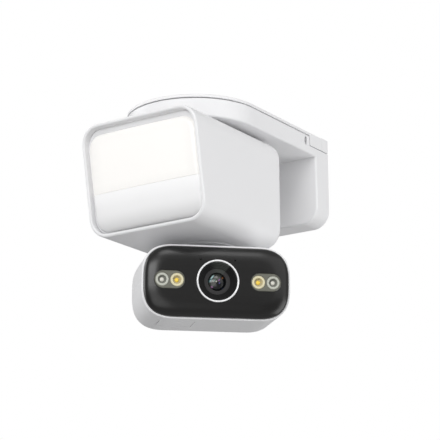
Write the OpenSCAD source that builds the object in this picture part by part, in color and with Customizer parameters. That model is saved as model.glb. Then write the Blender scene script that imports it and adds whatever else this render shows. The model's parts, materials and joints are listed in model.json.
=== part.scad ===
// Floodlight security camera: a wall or eave bracket, a floodlight box that swivels
// under the bracket's arm, and a camera head that pans and tilts below the box.
// Z is up, the wall is the plane y = 0 and the floodlight faces -Y.

/* [Bracket] */
// Width of the arm and of the wall post
bracket_w = 99; // [97:1:103]
// Distance from the wall to the swivel axis
arm_pivot = 104.2; // [103:0.1:106]
// Thickness of the arm, with its top plate
arm_t = 16.6; // [16:0.1:18]
// Depth of the wall post
post_t = 17.3; // [15:0.1:22]
// Height of the wall post, up to the arm's top
post_h = 67.6; // [60:0.1:76]
// Radius of the wall post's lower corners
post_corner = 13; // [8:1:16]
// Wall thickness of the bracket shell
bracket_wall = 2.5; // [2:0.1:3]
// Thickness of the top plate
cap_t = 2.3; // [2:0.1:2.6]

/* [Floodlight box] */
// Width of the box
lamp_w = 98.5; // [96:0.5:102]
// Height of the box
lamp_h = 79.4; // [76:0.1:84]
// Distance from the wall to the box's back
lamp_rear = 66.2; // [64:0.1:68]
// Distance from the wall to the top of the raked front
lamp_front_top = 176.9; // [174:0.1:180]
// Distance from the wall to the bottom of the raked front
lamp_front_bottom = 162.2; // [160:0.1:165]
// Corner radius of the box's cross-section
lamp_corner = 15; // [13:1:17]
// Radius of the box's rear edges
lamp_rear_edge = 4; // [3.5:0.5:6]
// Wall thickness of the box
lamp_wall = 2.5; // [2.2:0.1:2.8]
// Gap between the arm's underside and the box
lamp_gap = 2.3; // [2.1:0.1:2.6]
// Number of floodlight LEDs in a row
led_columns = 8; // [4:1:9]
// Number of rows of floodlight LEDs
led_rows = 4; // [2:1:4]

/* [Camera head] */
// Width of the head
head_w = 103.6; // [98:0.1:105]
// Height of the head
head_h = 51.8; // [50:0.1:53]
// Depth of the head's shell behind its rim
head_d = 64.5; // [63:0.1:66]
// Corner radius of the head's outline
head_corner = 18; // [16:1:19]
// Radius of the head's rear edges
head_edge = 10; // [9:0.5:11]
// Wall thickness of the head's shell
head_wall = 2.2; // [2:0.1:2.4]
// How far the dark face stands in front of the shell's rim
face_rise = 6.9; // [6:0.1:7.5]
// Outer radius of the bright ring round the lens
lens_ring_r = 14.8; // [14:0.1:15.4]
// Distance of the lamp windows from the head's middle
window_x = 33.4; // [32:0.1:34]

/* [Pan and tilt] */
// Distance from the wall to the pan axis
pan_reach = 92.2; // [91:0.1:95]
// Distance from the box's underside down to the tilt axis
tilt_drop = 31.8; // [30:0.1:33]
// Distance from the head's rim back to the tilt axis
tilt_set_back = 48; // [47:0.5:49]
// How far the head is turned from straight ahead
pan_rest = 43.5; // [0:0.5:90]
// How far the head looks down
tilt_rest = 4.2; // [0:0.1:40]
// Teeth on the pan gear
pan_teeth = 48; // [44:1:50]
// Teeth on the tilt gear
tilt_teeth = 24; // [20:1:25]
// Teeth on each motor's pinion
pinion_teeth = 12; // [12:1:14]

/* [Hidden] */
$fn = 64;

arm_top = post_h / 2;
arm_bottom = arm_top - arm_t;
seam = 0.3;
cap_z = arm_top - cap_t;
block_h = 9.9;
block_d = 26;
plate_d = 9;
sheet_t = 3;
wall_hole_x = 32;
wall_hole_z = 20;
screw_hole_r = 2.5;
eave_holes = [[-32, -48], [32, -48], [0, -134]];
cap_screws = [[-41, -62], [41, -62], [-28, -136], [28, -136]];
lock_y = -31;
lock_z = arm_top - 7.5;

spindle_r = 10.95;
bush_bore_r = 11;
washer_bore_r = 11.4;
flange_t = 1.3;
lamp_top = arm_bottom - lamp_gap;
lamp_bottom = lamp_top - lamp_h;
lamp_mid = (lamp_top + lamp_bottom) / 2;
lamp_floor = lamp_bottom + lamp_wall;
rake = atan((lamp_front_top - lamp_front_bottom) / lamp_h);
front_y = -(lamp_front_top + lamp_front_bottom) / 2;
lens_half_w = 45.6;
crown_r = 600;
lens_top = 32.7;
lens_split = -9.2;
lens_bottom = -37;
lens_rear = 5;
frame_rear = 8;
ledge_front = 9;
ledge_rear = 11;
frame_screw_at = [[-42, 20], [42, 20], [-42, -25], [42, -25]];
cell_r = 9.15;
cell_l = 65;
cell_pitch = 19.2;
cell_y = -126;
cell_z = -22;
board_y = -lamp_rear - 8.8;
board_t = 1.6;
port_x = -20;
button_x = 20;
port_z = -20;

tooth_m = 0.75;
pressure = 25;
backlash = 0.14;
pan_mesh = tooth_m * (pan_teeth + pinion_teeth) / 2 + 0.05;
tilt_mesh = tooth_m * (tilt_teeth + pinion_teeth) / 2 + 0.05;
turret_r = 24;
turret_z = lamp_bottom - 0.6;
neck_r = 12;
gear_z = lamp_bottom + 9.3;
gear_t = 4;
motor_plate_t = 1.5;
motor_plate_z = gear_z + gear_t + 0.4;
shaft_r = 1.5;
shaft_bore_r = 1.55;
motor_posts = [[31, -pan_reach + 14], [31, -pan_reach - 14]];

tilt_z = lamp_bottom - tilt_drop;
axle_r = 3;
drum_r = 13.5;
drum_w = 21;
slot_w = 22.6;
cheek_t = 2;
cheek_x = slot_w / 2;
slot_lip = 8.2;
pocket_r = 14.2;
tilt_gear_x = 16;
rim_y = -tilt_set_back;
face_y = rim_y - face_rise;
face_wall = 1.8;
window_w = 20.5;
window_h = 12;
led_pitch = 10.25;
barrel_r = lens_ring_r - 1.7;
barrel_steps = 4;
barrel_step = 0.95;
lens_r = 6.3;
flap_w = 24;
flap_front = rim_y + 13;
flap_rear = rim_y + 37;
flap_x = -25;

// ---------- helpers ----------

module box(lo, hi) {
    translate(lo) cube(hi - lo);
}

module rod_x(r, x0, x1) {
    translate([x0, 0, 0]) rotate([0, 90, 0]) cylinder(r = r, h = x1 - x0);
}

module rod_y(r, y0, y1) {
    translate([0, y0, 0]) rotate([-90, 0, 0]) cylinder(r = r, h = y1 - y0);
}

module rod_z(r, z0, z1) {
    translate([0, 0, z0]) cylinder(r = r, h = z1 - z0);
}

module along_y(y0, y1) {
    translate([0, y1, 0]) rotate([90, 0, 0]) linear_extrude(y1 - y0) children();
}

module along_x(x0, x1) {
    translate([x0, 0, 0]) rotate([90, 0, 90]) linear_extrude(x1 - x0) children();
}

module rounded_rect(w, h, r) {
    square([w - 2 * r, h], center = true);
    square([w, h - 2 * r], center = true);
    for (sx = [-1, 1], sy = [-1, 1])
        translate([sx * (w / 2 - r), sy * (h / 2 - r)]) circle(r);
}

module stadium(w, h) {
    square([w - h, h], center = true);
    for (s = [-1, 1])
        translate([s * (w - h) / 2, 0]) circle(h / 2);
}

// Half-profile of a round-edged block: from the axis out to r, with a rounded far corner
module edge_profile(r, d, e) {
    square([r - e, d]);
    square([r, d - e]);
    translate([r - e, d - e]) circle(e);
}

// Full profile of a round-edged block, with both far corners rounded
module bar_profile(w, d, e) intersection() {
    union() {
        translate([-w / 2, 0]) square([w, d - e]);
        translate([-w / 2 + e, 0]) square([w - 2 * e, d]);
        for (sx = [-1, 1])
            translate([sx * (w / 2 - e), d - e]) circle(e);
    }
    translate([-w / 2, 0]) square([w, d]);
}

// Block in the XZ plane from y = 0 back to y = d, corner radius r, rear edges rounded by e
module soft_block(w, h, d, r, e) {
    for (sx = [-1, 1], sz = [-1, 1])
        translate([sx * (w / 2 - r), 0, sz * (h / 2 - r)])
            rotate([-90, 0, 0]) rotate_extrude() intersection() {
                edge_profile(r, d, e);
                square([r, d]);
            }
    translate([-(w / 2 - r), 0, 0]) rotate([0, 90, 0]) linear_extrude(w - 2 * r) bar_profile(h, d, e);
    translate([0, 0, -(h / 2 - r)]) linear_extrude(h - 2 * r) bar_profile(w, d, e);
}

// Angle between the radius and the flank of an involute, in degrees
function inv(a) = tan(a) * 180 / PI - a;

function flank_angle(teeth, r) =
    let (pitch_r = teeth * tooth_m / 2, base_r = pitch_r * cos(pressure))
    90 / teeth - backlash / 2 / pitch_r * 180 / PI + inv(pressure) - inv(acos(min(1, base_r / r)));

// Outline of an involute gear with a tooth on the +X axis
module gear_outline(teeth) {
    pitch_r = teeth * tooth_m / 2;
    base_r = pitch_r * cos(pressure);
    root_r = pitch_r - 1.2 * tooth_m;
    foot_r = max(base_r, root_r + 0.05);
    tip_r = pitch_r + 0.9 * tooth_m;
    radii = [root_r, foot_r, (foot_r + tip_r) / 2, tip_r];
    polygon([
        for (i = [0:teeth - 1], side = [-1, 1], k = [0:3])
            let (r = radii[side < 0 ? k : 3 - k])
            let (a = i * 360 / teeth + side * flank_angle(teeth, max(r, foot_r)))
            r * [cos(a), sin(a)]
    ]);
}

module round_screw(head_r, head_h, shank_r, length) {
    difference() {
        union() {
            rod_z(head_r, 0, head_h);
            rod_z(shank_r, -length, 0);
        }
        for (a = [0, 90])
            rotate([0, 0, a]) box([-head_r * 0.6, -0.3, head_h * 0.45], [head_r * 0.6, 0.3, head_h + 1]);
    }
}

module arm_plan(r, back) {
    translate([0, -arm_pivot]) circle(r, $fn = 128);
    translate([-r, -arm_pivot]) square([2 * r, arm_pivot - back]);
}

module post_outline(inset, top) {
    half_w = bracket_w / 2 - inset;
    foot = -post_h / 2 + inset;
    r = post_corner - inset;
    translate([-half_w, foot + r]) square([2 * half_w, top - foot - r]);
    translate([-half_w + r, foot]) square([2 * (half_w - r), r + 1]);
    for (s = [-1, 1])
        translate([s * (half_w - r), foot + r]) circle(r);
}

// Local frame of the raked front: +y goes into the box, z runs up the rim's plane
module at_front() {
    translate([0, front_y, lamp_mid]) rotate([rake, 0, 0]) children();
}

module lamp_core(inset) {
    front = -lamp_front_top - 2;
    translate([0, front, lamp_mid])
        soft_block(lamp_w - 2 * inset, lamp_h - 2 * inset, -lamp_rear - inset - front,
            lamp_corner - inset, lamp_rear_edge - inset);
}

module front_slab(y0, y1) {
    at_front() box([-60, y0, -60], [60, y1, 60]);
}

module lens_outline() {
    r = 11;
    translate([0, (lens_top + lens_bottom) / 2])
        rounded_rect(2 * lens_half_w, lens_top - lens_bottom, r);
}

module at_swivel() {
    translate([0, -arm_pivot, 0]) children();
}

module at_neck() {
    translate([0, -pan_reach, 0]) rotate([0, 0, pan_rest]) children();
}

module at_head() {
    translate([0, -pan_reach, tilt_z]) rotate([0, 0, pan_rest]) rotate([tilt_rest, 0, 0]) children();
}

module at_pan_pinion() {
    translate([pan_mesh, -pan_reach, 0]) children();
}

// The tilt pinion sits ahead of the axle and below it
module at_tilt_pinion() {
    translate([0, -tilt_mesh * cos(45), -tilt_mesh * sin(45)]) children();
}

// ---------- bracket ----------

module wall_plate() color("whitesmoke") difference() {
    union() {
        along_y(-sheet_t, 0) post_outline(bracket_wall + 0.2, cap_z);
        box([-bracket_w / 2, -plate_d, cap_z], [bracket_w / 2, 0, arm_top]);
        for (s = [-1, 1])
            translate([s * (bracket_w - bracket_wall) / 2, 0, 0])
                box([-bracket_wall / 2, -plate_d, arm_top - block_h], [bracket_wall / 2, 0, cap_z + 1]);
    }
    for (sx = [-1, 1], sz = [-1, 1])
        translate([sx * wall_hole_x, 0, sz * wall_hole_z - 6]) rod_y(screw_hole_r, -sheet_t - 1, 1);
}

module eave_plate() color("white") difference() {
    union() {
        translate([0, 0, cap_z]) linear_extrude(cap_t) arm_plan(bracket_w / 2, plate_d + 0.1);
        for (s = [-1, 1])
            translate([s * (bracket_w - bracket_wall) / 2, -plate_d - 0.1, 0]) box(
                [-bracket_wall / 2, plate_d + 0.1 - block_d, arm_top - block_h],
                [bracket_wall / 2, 0, cap_z + 1]
            );
        box([39, lock_y - 5, lock_z - 5], [43.8, lock_y + 5, cap_z + 1]);
    }
    for (p = eave_holes)
        translate(p) rod_z(screw_hole_r, cap_z - 1, arm_top + 1);
    for (p = cap_screws)
        translate(p) {
            rod_z(1.3, cap_z - 1, arm_top + 1);
            rod_z(2.7, arm_top - 1.3, arm_top + 1);
        }
    translate([0, lock_y, lock_z]) rod_x(1.5, 38, 45);
}

module bracket_shell() color("white") difference() {
    union() {
        difference() {
            union() {
                translate([0, 0, arm_bottom]) linear_extrude(arm_t - cap_t - seam) arm_plan(bracket_w / 2, 0);
                along_y(-post_t, 0) post_outline(0, arm_bottom + 2);
            }
            translate([0, 0, arm_bottom + bracket_wall])
                linear_extrude(arm_t) arm_plan(bracket_w / 2 - bracket_wall, -1);
            along_y(-post_t + bracket_wall, 1) post_outline(bracket_wall, arm_bottom + arm_t);
            box([-bracket_w, -block_d - seam, arm_top - block_h - seam], [bracket_w, 1, arm_top]);
        }
        for (p = cap_screws)
            translate(p) rod_z(3.2, arm_bottom + 1, cap_z);
        for (s = [-1, 1])
            box([s * 24 - 1, -post_t + 1, -post_h / 2 + 1], [s * 24 + 1, -sheet_t, arm_bottom + 6]);
        box([43.8, lock_y - 4, arm_bottom + 1], [48, lock_y + 4, cap_z - 1]);
    }
    at_swivel() rod_z(13, arm_bottom - 1, arm_bottom + 5);
    for (p = cap_screws)
        translate(p) rod_z(1.25, arm_bottom + 5, cap_z + 1);
    translate([0, lock_y, lock_z]) {
        rod_x(1.6, 43, bracket_w / 2 + 1);
        rod_x(3.1, bracket_w / 2 - 2, bracket_w / 2 + 1);
    }
}

module plate_screws() color("silver") {
    for (p = cap_screws)
        translate([p[0], p[1], arm_top - 1.3]) round_screw(2.6, 1.2, 1.25, 8);
}

module lock_screw() color("dimgray") {
    translate([bracket_w / 2 - 2, lock_y, lock_z]) rotate([0, 90, 0]) round_screw(2.9, 1.6, 1.5, 8);
}

module swivel_bush() color("dimgray") at_swivel() difference() {
    union() {
        rod_z(13, arm_bottom, arm_bottom + bracket_wall + 1);
        rod_z(17, arm_bottom + bracket_wall, arm_bottom + bracket_wall + 1);
    }
    rod_z(bush_bore_r, arm_bottom - 1, arm_top);
}

module friction_washer() color("black") at_swivel() difference() {
    rod_z(20, lamp_top + flange_t, arm_bottom);
    rod_z(washer_bore_r, lamp_top, arm_top);
}

module spring_washer() color("silver") at_swivel() difference() {
    rod_z(15, arm_bottom + bracket_wall + 1, arm_bottom + bracket_wall + 2.2);
    rod_z(washer_bore_r, arm_bottom, arm_top);
}

// ---------- floodlight box ----------

module lamp_housing() color("white") difference() {
    union() {
        difference() {
            lamp_core(0);
            lamp_core(lamp_wall);
            front_slab(-30, 0);
        }
        difference() {
            intersection() {
                lamp_core(lamp_wall - 0.8);
                front_slab(ledge_front, ledge_rear);
            }
            at_front() box([-39, 0, -32], [39, 20, 33]);
        }
        translate([0, -pan_reach, 0]) rod_z(19, lamp_floor - 1, gear_z - 0.8);
        for (p = motor_posts)
            translate(p) rod_z(3, lamp_floor - 1, motor_plate_z);
        for (sx = [-1, 1], y = [-138, -114])
            translate([sx * 34, y, 0]) rod_z(2.5, lamp_floor - 1, cell_z - 21);
        for (sx = [-1, 1], z = [-36, 0])
            translate([sx * 34, 0, z]) rod_y(2.5, board_y + board_t, -lamp_rear - 1);
        translate([port_x, 0, port_z]) along_y(-lamp_rear - 3.4, -lamp_rear - 0.5) rounded_rect(19, 13, 3);
    }
    translate([0, -pan_reach, 0]) {
        rod_z(turret_r + 0.4, lamp_bottom - 1, lamp_bottom + 1);
        rod_z(15, lamp_bottom - 1, gear_z + 1);
    }
    at_swivel() {
        rod_z(spindle_r, lamp_top - 10, lamp_top + 1);
        for (a = [45:90:315])
            rotate([0, 0, a]) translate([15.5, 0, 0]) rod_z(1.3, lamp_top - 6, lamp_top + 1);
    }
    translate([port_x, 0, port_z]) {
        along_y(-lamp_rear - 1.2, -lamp_rear + 1) rounded_rect(17, 11, 1);
        along_y(-lamp_rear - 5, -lamp_rear + 1) rounded_rect(9.2, 3.5, 1.6);
    }
    translate([button_x, 0, port_z]) rod_y(4.1, -lamp_rear - 5, -lamp_rear + 1);
    at_front() for (p = frame_screw_at)
        translate([p[0], 0, p[1]]) rod_y(1.2, ledge_front - 1, ledge_rear + 1);
    for (p = motor_posts)
        translate(p) rod_z(1.2, motor_plate_z - 8, motor_plate_z + 1);
}

module swivel_spindle() color("silver") at_swivel() difference() {
    union() {
        rod_z(spindle_r, lamp_top - 7, arm_bottom + 9.8);
        rod_z(20, lamp_top, lamp_top + flange_t);
    }
    rod_z(7, lamp_top - 8, arm_top);
    for (a = [45:90:315])
        rotate([0, 0, a]) translate([15.5, 0, 0]) rod_z(1.25, lamp_top - 1, lamp_top + 1);
}

module swivel_nut() color("silver") at_swivel() difference() {
    translate([0, 0, arm_bottom + bracket_wall + 2.2]) cylinder(r = 17, h = 4.6, $fn = 6);
    rod_z(spindle_r, arm_bottom, arm_top);
}

module spindle_screws() color("silver") at_swivel() {
    for (a = [45:90:315])
        rotate([0, 0, a]) translate([15.5, 0, lamp_top - lamp_wall]) mirror([0, 0, 1])
            round_screw(2.4, 1.5, 1.25, 3.4);
}

module lamp_gasket() color("black") difference() {
    intersection() {
        lamp_core(lamp_wall);
        front_slab(frame_rear, ledge_front);
    }
    at_front() {
        box([-39.5, 0, -32.5], [39.5, 20, 33.5]);
        for (p = frame_screw_at)
            translate([p[0], 0, p[1]]) rod_y(1.2, 0, 20);
    }
}

module lens_frame() color("gainsboro") difference() {
    union() {
        intersection() {
            lamp_core(lamp_wall);
            front_slab(lens_rear, frame_rear);
        }
        at_front() for (s = [-1, 1])
            translate([s * 27, 0, -22]) rod_y(2.5, frame_rear - 1, frame_rear + 4);
    }
    at_front() {
        difference() {
            box([-40, 0, -33.5], [40, 20, 29.5]);
            for (s = [-1, 1])
                translate([s * 27, 0, -22]) rod_y(2.5, frame_rear - 2, frame_rear + 4);
            for (s = [-1, 1])
                box([s * 33.5 - 7, lens_rear, -24], [s * 33.5 + 7, frame_rear, -20]);
        }
        for (p = frame_screw_at)
            translate([p[0], 0, p[1]]) {
                rod_y(1.2, 0, 20);
                rod_y(1.9, 0, lens_rear + 1.3);
            }
    }
}

// The lens's front is crowned, and the split divides it into a diffuser and a sensor window
module lens_piece(z0, z1) {
    at_front() intersection() {
        along_y(-1, lens_rear) lens_outline();
        translate([0, crown_r + 0.3, 0]) translate([0, 0, -60])
            cylinder(r = crown_r, h = 120, $fn = 720);
        translate([0, crown_r + 0.3, (lens_top + lens_bottom) / 2]) rotate([0, 90, 0]) translate([0, 0, -60])
            cylinder(r = crown_r, h = 120, $fn = 720);
        box([-50, -5, z0], [50, 10, z1]);
    }
}

module light_diffuser() color("ivory") {
    lens_piece(lens_split, lens_top + 1);
}

module sensor_window() color("white") {
    lens_piece(lens_bottom - 1, lens_split);
}

module frame_screws() color("silver") at_front() {
    for (p = frame_screw_at)
        translate([p[0], lens_rear + 1.3, p[1]]) rotate([90, 0, 0]) round_screw(1.8, 1.2, 1.2, 4.4);
}

module flood_reflector() color("white") at_front() difference() {
    box([-38.8, frame_rear, -7.5], [38.8, frame_rear + 4, 30]);
    box([-37.3, frame_rear - 1, -6], [37.3, frame_rear + 3.2, 28.5]);
    box([-36, frame_rear, -4.5], [36, frame_rear + 5, 27]);
}

module flood_leds() color("gold") at_front() {
    pitch_x = 66 / (led_columns - 1);
    pitch_z = 24 / (led_rows - 1);
    for (i = [0:led_columns - 1], k = [0:led_rows - 1])
        translate([-33 + i * pitch_x, frame_rear + 4, -0.75 + k * pitch_z])
            box([-1.4, -0.8, -1.75], [1.4, 0, 1.75]);
}

module flood_board() color("whitesmoke") at_front() {
    box([-38.5, frame_rear + 4, -7], [38.5, frame_rear + 5.5, 29.5]);
}

module heat_sink() color("silver") at_front() {
    box([-38, frame_rear + 5.5, -6.5], [38, frame_rear + 7.5, 29]);
    for (i = [0:9])
        box([-36.5 + i * 8 - 0.7, frame_rear + 7, -6.5], [-36.5 + i * 8 + 0.7, frame_rear + 11, 29]);
}

module motion_sensors() color("silver") at_front() {
    for (s = [-1, 1])
        translate([s * 14, 0, -22]) {
            rod_y(4.1, frame_rear, frame_rear + 4);
            rod_y(4.6, frame_rear + 3.2, frame_rear + 4);
        }
}

module sensor_board() color("darkgreen") at_front() {
    box([-31, frame_rear + 4, -32], [31, frame_rear + 5.4, -12]);
}

module battery_holder() color("dimgray") difference() {
    box([-36.5, cell_y - 20, cell_z - 21], [36.5, cell_y + 20, cell_z + 21]);
    for (sy = [-1, 1], sz = [-1, 1])
        translate([0, cell_y + sy * cell_pitch / 2, cell_z + sz * cell_pitch / 2])
            rod_x(cell_r + 0.05, -cell_l / 2 - 0.6, cell_l / 2 + 0.6);
    for (sy = [-1, 1])
        box([-26, cell_y + sy * 16 - 6, cell_z - 30], [26, cell_y + sy * 16 + 6, cell_z + 30]);
}

module battery_cells() color("steelblue") {
    for (sy = [-1, 1], sz = [-1, 1])
        translate([0, cell_y + sy * cell_pitch / 2, cell_z + sz * cell_pitch / 2])
            rod_x(cell_r, -cell_l / 2, cell_l / 2);
}

// The board with its chips, shield can and the power button's switch
module main_board() color("darkgreen") {
    box([-38, board_y, -40], [38, board_y + board_t, 4]);
    box([-8, board_y - 1.4, -22], [6, board_y, -8]);
    box([12, board_y - 1.2, -30], [22, board_y, -20]);
    box([-28, board_y - 2.6, -14], [-14, board_y, 0]);
    box([-26, board_y - 1, -34], [-20, board_y, -26]);
    box([button_x - 3, board_y + board_t, port_z - 3], [button_x + 3, board_y + board_t + 1.5, port_z + 3]);
}

module wifi_antenna() color("goldenrod") {
    box([-lamp_w / 2 + lamp_wall, -112, -26], [-lamp_w / 2 + lamp_wall + 0.8, -86, -18]);
}

module charge_port() color("silver") translate([port_x, 0, port_z]) difference() {
    along_y(board_y + board_t, -lamp_rear - 1.3) rounded_rect(9, 3.3, 1.5);
    along_y(board_y + board_t + 1, -lamp_rear) rounded_rect(8.3, 2.6, 1.2);
}

// Rubber door, hinged along its lower edge
module port_cover() color("lightgray") translate([port_x, -lamp_rear, port_z]) {
    box([-8, -1.1, -4.4], [8, -0.1, 4.9]);
    translate([0, -0.6, -4.4]) rod_x(0.5, -8, 8);
    box([-3, -0.6, 4.2], [3, 0.4, 4.9]);
}

module power_button() color("lightgray") translate([button_x, -lamp_rear, port_z]) {
    rod_y(3.8, -5, 0.3);
    rod_y(4.8, -5, -lamp_wall);
}

module pan_bush() color("dimgray") translate([0, -pan_reach, 0]) difference() {
    union() {
        rod_z(15, lamp_bottom + 1, gear_z);
        rod_z(16.5, gear_z - 0.8, gear_z);
    }
    rod_z(neck_r + 0.05, lamp_bottom, gear_z + 1);
}

module pan_motor() color("silver") difference() {
    union() {
        at_pan_pinion() {
            rod_z(10, motor_plate_z, motor_plate_z + 19);
            rod_z(4, motor_plate_z + 18, motor_plate_z + 21);
        }
        for (p = motor_posts)
            translate(p) rod_z(3.5, motor_plate_z, motor_plate_z + motor_plate_t);
        box([25, -pan_reach - 14, motor_plate_z], [34.5, -pan_reach + 14, motor_plate_z + motor_plate_t]);
    }
    at_pan_pinion() rod_z(shaft_bore_r, motor_plate_z - 1, motor_plate_z + 6);
    for (p = motor_posts)
        translate(p) rod_z(1.25, motor_plate_z - 1, motor_plate_z + 3);
}

module motor_screws() color("silver") {
    for (p = motor_posts)
        translate([p[0], p[1], motor_plate_z + motor_plate_t]) round_screw(2.4, 1.5, 1.2, 7);
}

module pan_pinion() color("goldenrod") at_pan_pinion() {
    rotate([0, 0, 180 + 180 / pinion_teeth])
        translate([0, 0, gear_z]) linear_extrude(gear_t) gear_outline(pinion_teeth);
    rod_z(shaft_r, gear_z, motor_plate_z + 5);
}

// ---------- neck ----------

module neck() color("white") at_neck() difference() {
    union() {
        rod_z(turret_r, turret_z, turret_z + 1.3);
        rod_z(neck_r, turret_z, gear_z);
        rod_z(10, gear_z - 1, gear_z + gear_t + 1);
        translate([0, 0, tilt_z]) linear_extrude(turret_z - tilt_z + 1) rounded_rect(20, 14, 6.5);
        translate([0, 0, tilt_z]) rod_x(drum_r, -drum_w / 2, drum_w / 2);
    }
    rod_z(3, tilt_z + 8, gear_z + 10);
    translate([0, 0, tilt_z]) rod_x(axle_r, -20, 20);
}

module pan_gear() color("ivory") translate([0, -pan_reach, gear_z]) difference() {
    linear_extrude(gear_t) gear_outline(pan_teeth);
    rod_z(10, -1, gear_t + 1);
}

module pan_clip() color("silver") at_neck() difference() {
    rod_z(11.8, gear_z + gear_t, gear_z + gear_t + 1);
    rod_z(10, gear_z, gear_z + 10);
}

module neck_cable() color("black") at_neck() {
    rod_z(3, tilt_z + 8, gear_z + 12);
}

module tilt_axle() color("silver") at_neck() translate([0, 0, tilt_z]) {
    rod_x(axle_r, -17, tilt_gear_x + gear_t + 1.5);
}

// One tooth points at the tilt pinion
module tilt_gear() color("ivory") at_head() difference() {
    translate([tilt_gear_x, 0, 0]) rotate([90, 0, 90]) rotate([0, 0, 225])
        linear_extrude(gear_t) gear_outline(tilt_teeth);
    rod_x(axle_r, tilt_gear_x - 1, tilt_gear_x + gear_t + 1);
}

// ---------- camera head ----------

module head_core(inset) {
    translate([0, rim_y - (inset > 0 ? 1 : 0), 0])
        soft_block(head_w - 2 * inset, head_h - 2 * inset, head_d - inset + (inset > 0 ? 1 : 0),
            head_corner - inset, head_edge - inset);
}

module pocket_outline(grow) {
    circle(pocket_r + grow);
    translate([-slot_lip - grow, -slot_lip - grow]) square([60, 60]);
}

// Opening under the head: round corners in front, square ones at the hinge
module flap_plan(grow) {
    flap_l = flap_rear - flap_front;
    rounded_rect(flap_w + 2 * grow, flap_l + 2 * grow, 2.2 + grow);
    translate([-flap_w / 2 - grow, 0]) square([flap_w + 2 * grow, flap_l / 2 + grow]);
}

module at_flap() {
    translate([flap_x, (flap_front + flap_rear) / 2, -head_h / 2]) children();
}

module head_shell() color("white") at_head() difference() {
    union() {
        difference() {
            head_core(0);
            head_core(head_wall);
        }
        intersection() {
            head_core(0);
            union() {
                along_x(-cheek_x - cheek_t, cheek_x + cheek_t) pocket_outline(cheek_t);
                rod_x(6, -cheek_x - 4, cheek_x + 4);
                at_flap() box([-14.5, -13.5, 0], [14.5, 13.5, 6]);
                box([24, -22, -head_h / 2], [36, -4, -14]);
                difference() {
                    along_y(rim_y + 3.2, rim_y + 4.8) rounded_rect(head_w - 4, head_h - 4, head_corner - 2);
                    along_y(rim_y, rim_y + 9) rounded_rect(head_w - 8, head_h - 8, head_corner - 4);
                }
            }
        }
    }
    along_x(-cheek_x, cheek_x) pocket_outline(0);
    rod_x(axle_r + 0.05, -40, 40);
    at_flap() {
        translate([0, 0, -1]) linear_extrude(2.6) flap_plan(0.4);
        translate([0, 0, -1]) linear_extrude(5.8) rounded_rect(flap_w - 3, 19, 1.5);
        translate([0, 1.2 - 4, 0]) box([-7.6, -1.9, 3], [7.6, 1.9, 7]);
        translate([6, 4.6, 0]) rod_z(1.7, 3, 7);
    }
    at_tilt_pinion() rod_x(9, 20, 42);
    for (i = [0:7])
        box([-head_w / 2 - 1, rim_y + 5.6 + i * 4.2, -1.7], [-head_w / 2 + 3, rim_y + 7 + i * 4.2, 1.7]);
}

module face_gasket() color("dimgray") at_head() difference() {
    along_y(rim_y + 2, rim_y + 3.2)
        rounded_rect(head_w - 2 * head_wall, head_h - 2 * head_wall, head_corner - head_wall);
    along_y(rim_y, rim_y + 9) rounded_rect(head_w - 8, head_h - 8, head_corner - 4);
}

module face_block(inset, back) {
    mirror([0, 1, 0]) translate([0, -back, 0])
        soft_block(head_w - 2 * head_wall - 0.2 - 2 * inset, head_h - 2 * head_wall - 0.2 - 2 * inset,
            back - face_y - inset, head_corner - head_wall - inset, face_rise - inset);
}

module window_plan(clear) {
    stadium(window_w + 2 * clear, window_h + 2 * clear);
}

module face_plate() color("black") at_head() difference() {
    union() {
        difference() {
            face_block(0, rim_y + 2);
            face_block(face_wall, rim_y + 3);
        }
        for (sx = [-1, 1], sz = [-1, 1])
            translate([sx * 29, 0, sz * 16]) rod_y(2.2, face_y + 1, -30);
    }
    rod_y(lens_ring_r, face_y - 1, face_y + 5);
    for (s = [-1, 1])
        translate([s * window_x, 0, 0]) along_y(face_y - 1, face_y + 5) window_plan(0.1);
    for (s = [-1, 1])
        translate([s * 12, 0, 14.6]) rod_y(0.5, face_y - 1, face_y + 5);
}

module lens_ring() color("white") at_head() difference() {
    rod_y(lens_ring_r, face_y - 0.5, face_y + 4);
    rod_y(barrel_r, face_y - 1, face_y + 5);
}

// Stepped barrel: each step is narrower and deeper, down to the ring that holds the lens
module lens_barrel() color("black") at_head() difference() {
    union() {
        rod_y(barrel_r, face_y + 0.4, face_y + 8);
        rod_y(11, face_y + 7, face_y + 16);
        box([-13, face_y + 15, -13], [13, face_y + 20, 13]);
    }
    for (i = [0:barrel_steps - 1])
        rod_y(barrel_r - 0.8 - i * barrel_step, face_y - 1, face_y + 1.2 + i * 0.9);
    rod_y(lens_r, face_y - 1, face_y + 9);
    rod_y(4, face_y + 8, face_y + 18);
    box([-8, face_y + 17, -8], [8, face_y + 21, 8]);
}

module front_lens() color("midnightblue") at_head() intersection() {
    translate([0, face_y + 12.4, 0]) sphere(9, $fn = 96);
    rod_y(lens_r, face_y - 1, face_y + 9);
}

module image_board() color("darkgreen") at_head() {
    box([-15, face_y + 20, -15], [15, face_y + 21.4, 15]);
    box([-4.5, face_y + 18.8, -4], [4.5, face_y + 20, 4]);
}

module led_window(side) {
    at_head() translate([side * window_x, 0, 0]) difference() {
        along_y(face_y, face_y + 3.4) window_plan(0);
        for (s = [-1, 1])
            translate([s * led_pitch / 2, 0, 0]) rod_y(4.35, face_y - 1, face_y + 5);
    }
}

module left_led_window() color("lightgray") {
    led_window(-1);
}

module right_led_window() color("lightgray") {
    led_window(1);
}

module led_reflectors() color("beige") at_head() {
    for (side = [-1, 1], s = [-1, 1])
        translate([side * window_x + s * led_pitch / 2, 0, 0]) difference() {
            rod_y(4.35, face_y + 0.2, face_y + 3.4);
            rod_y(2.9, face_y - 1, face_y + 2.6);
            rod_y(1.5, face_y - 1, face_y + 4);
        }
}

module emitters(inner) {
    at_head() for (side = [-1, 1])
        translate([side * (window_x + (inner ? -1 : 1) * led_pitch / 2), 0, 0]) {
            rod_y(1.5, face_y + 1.4, face_y + 3.4);
        }
}

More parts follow.
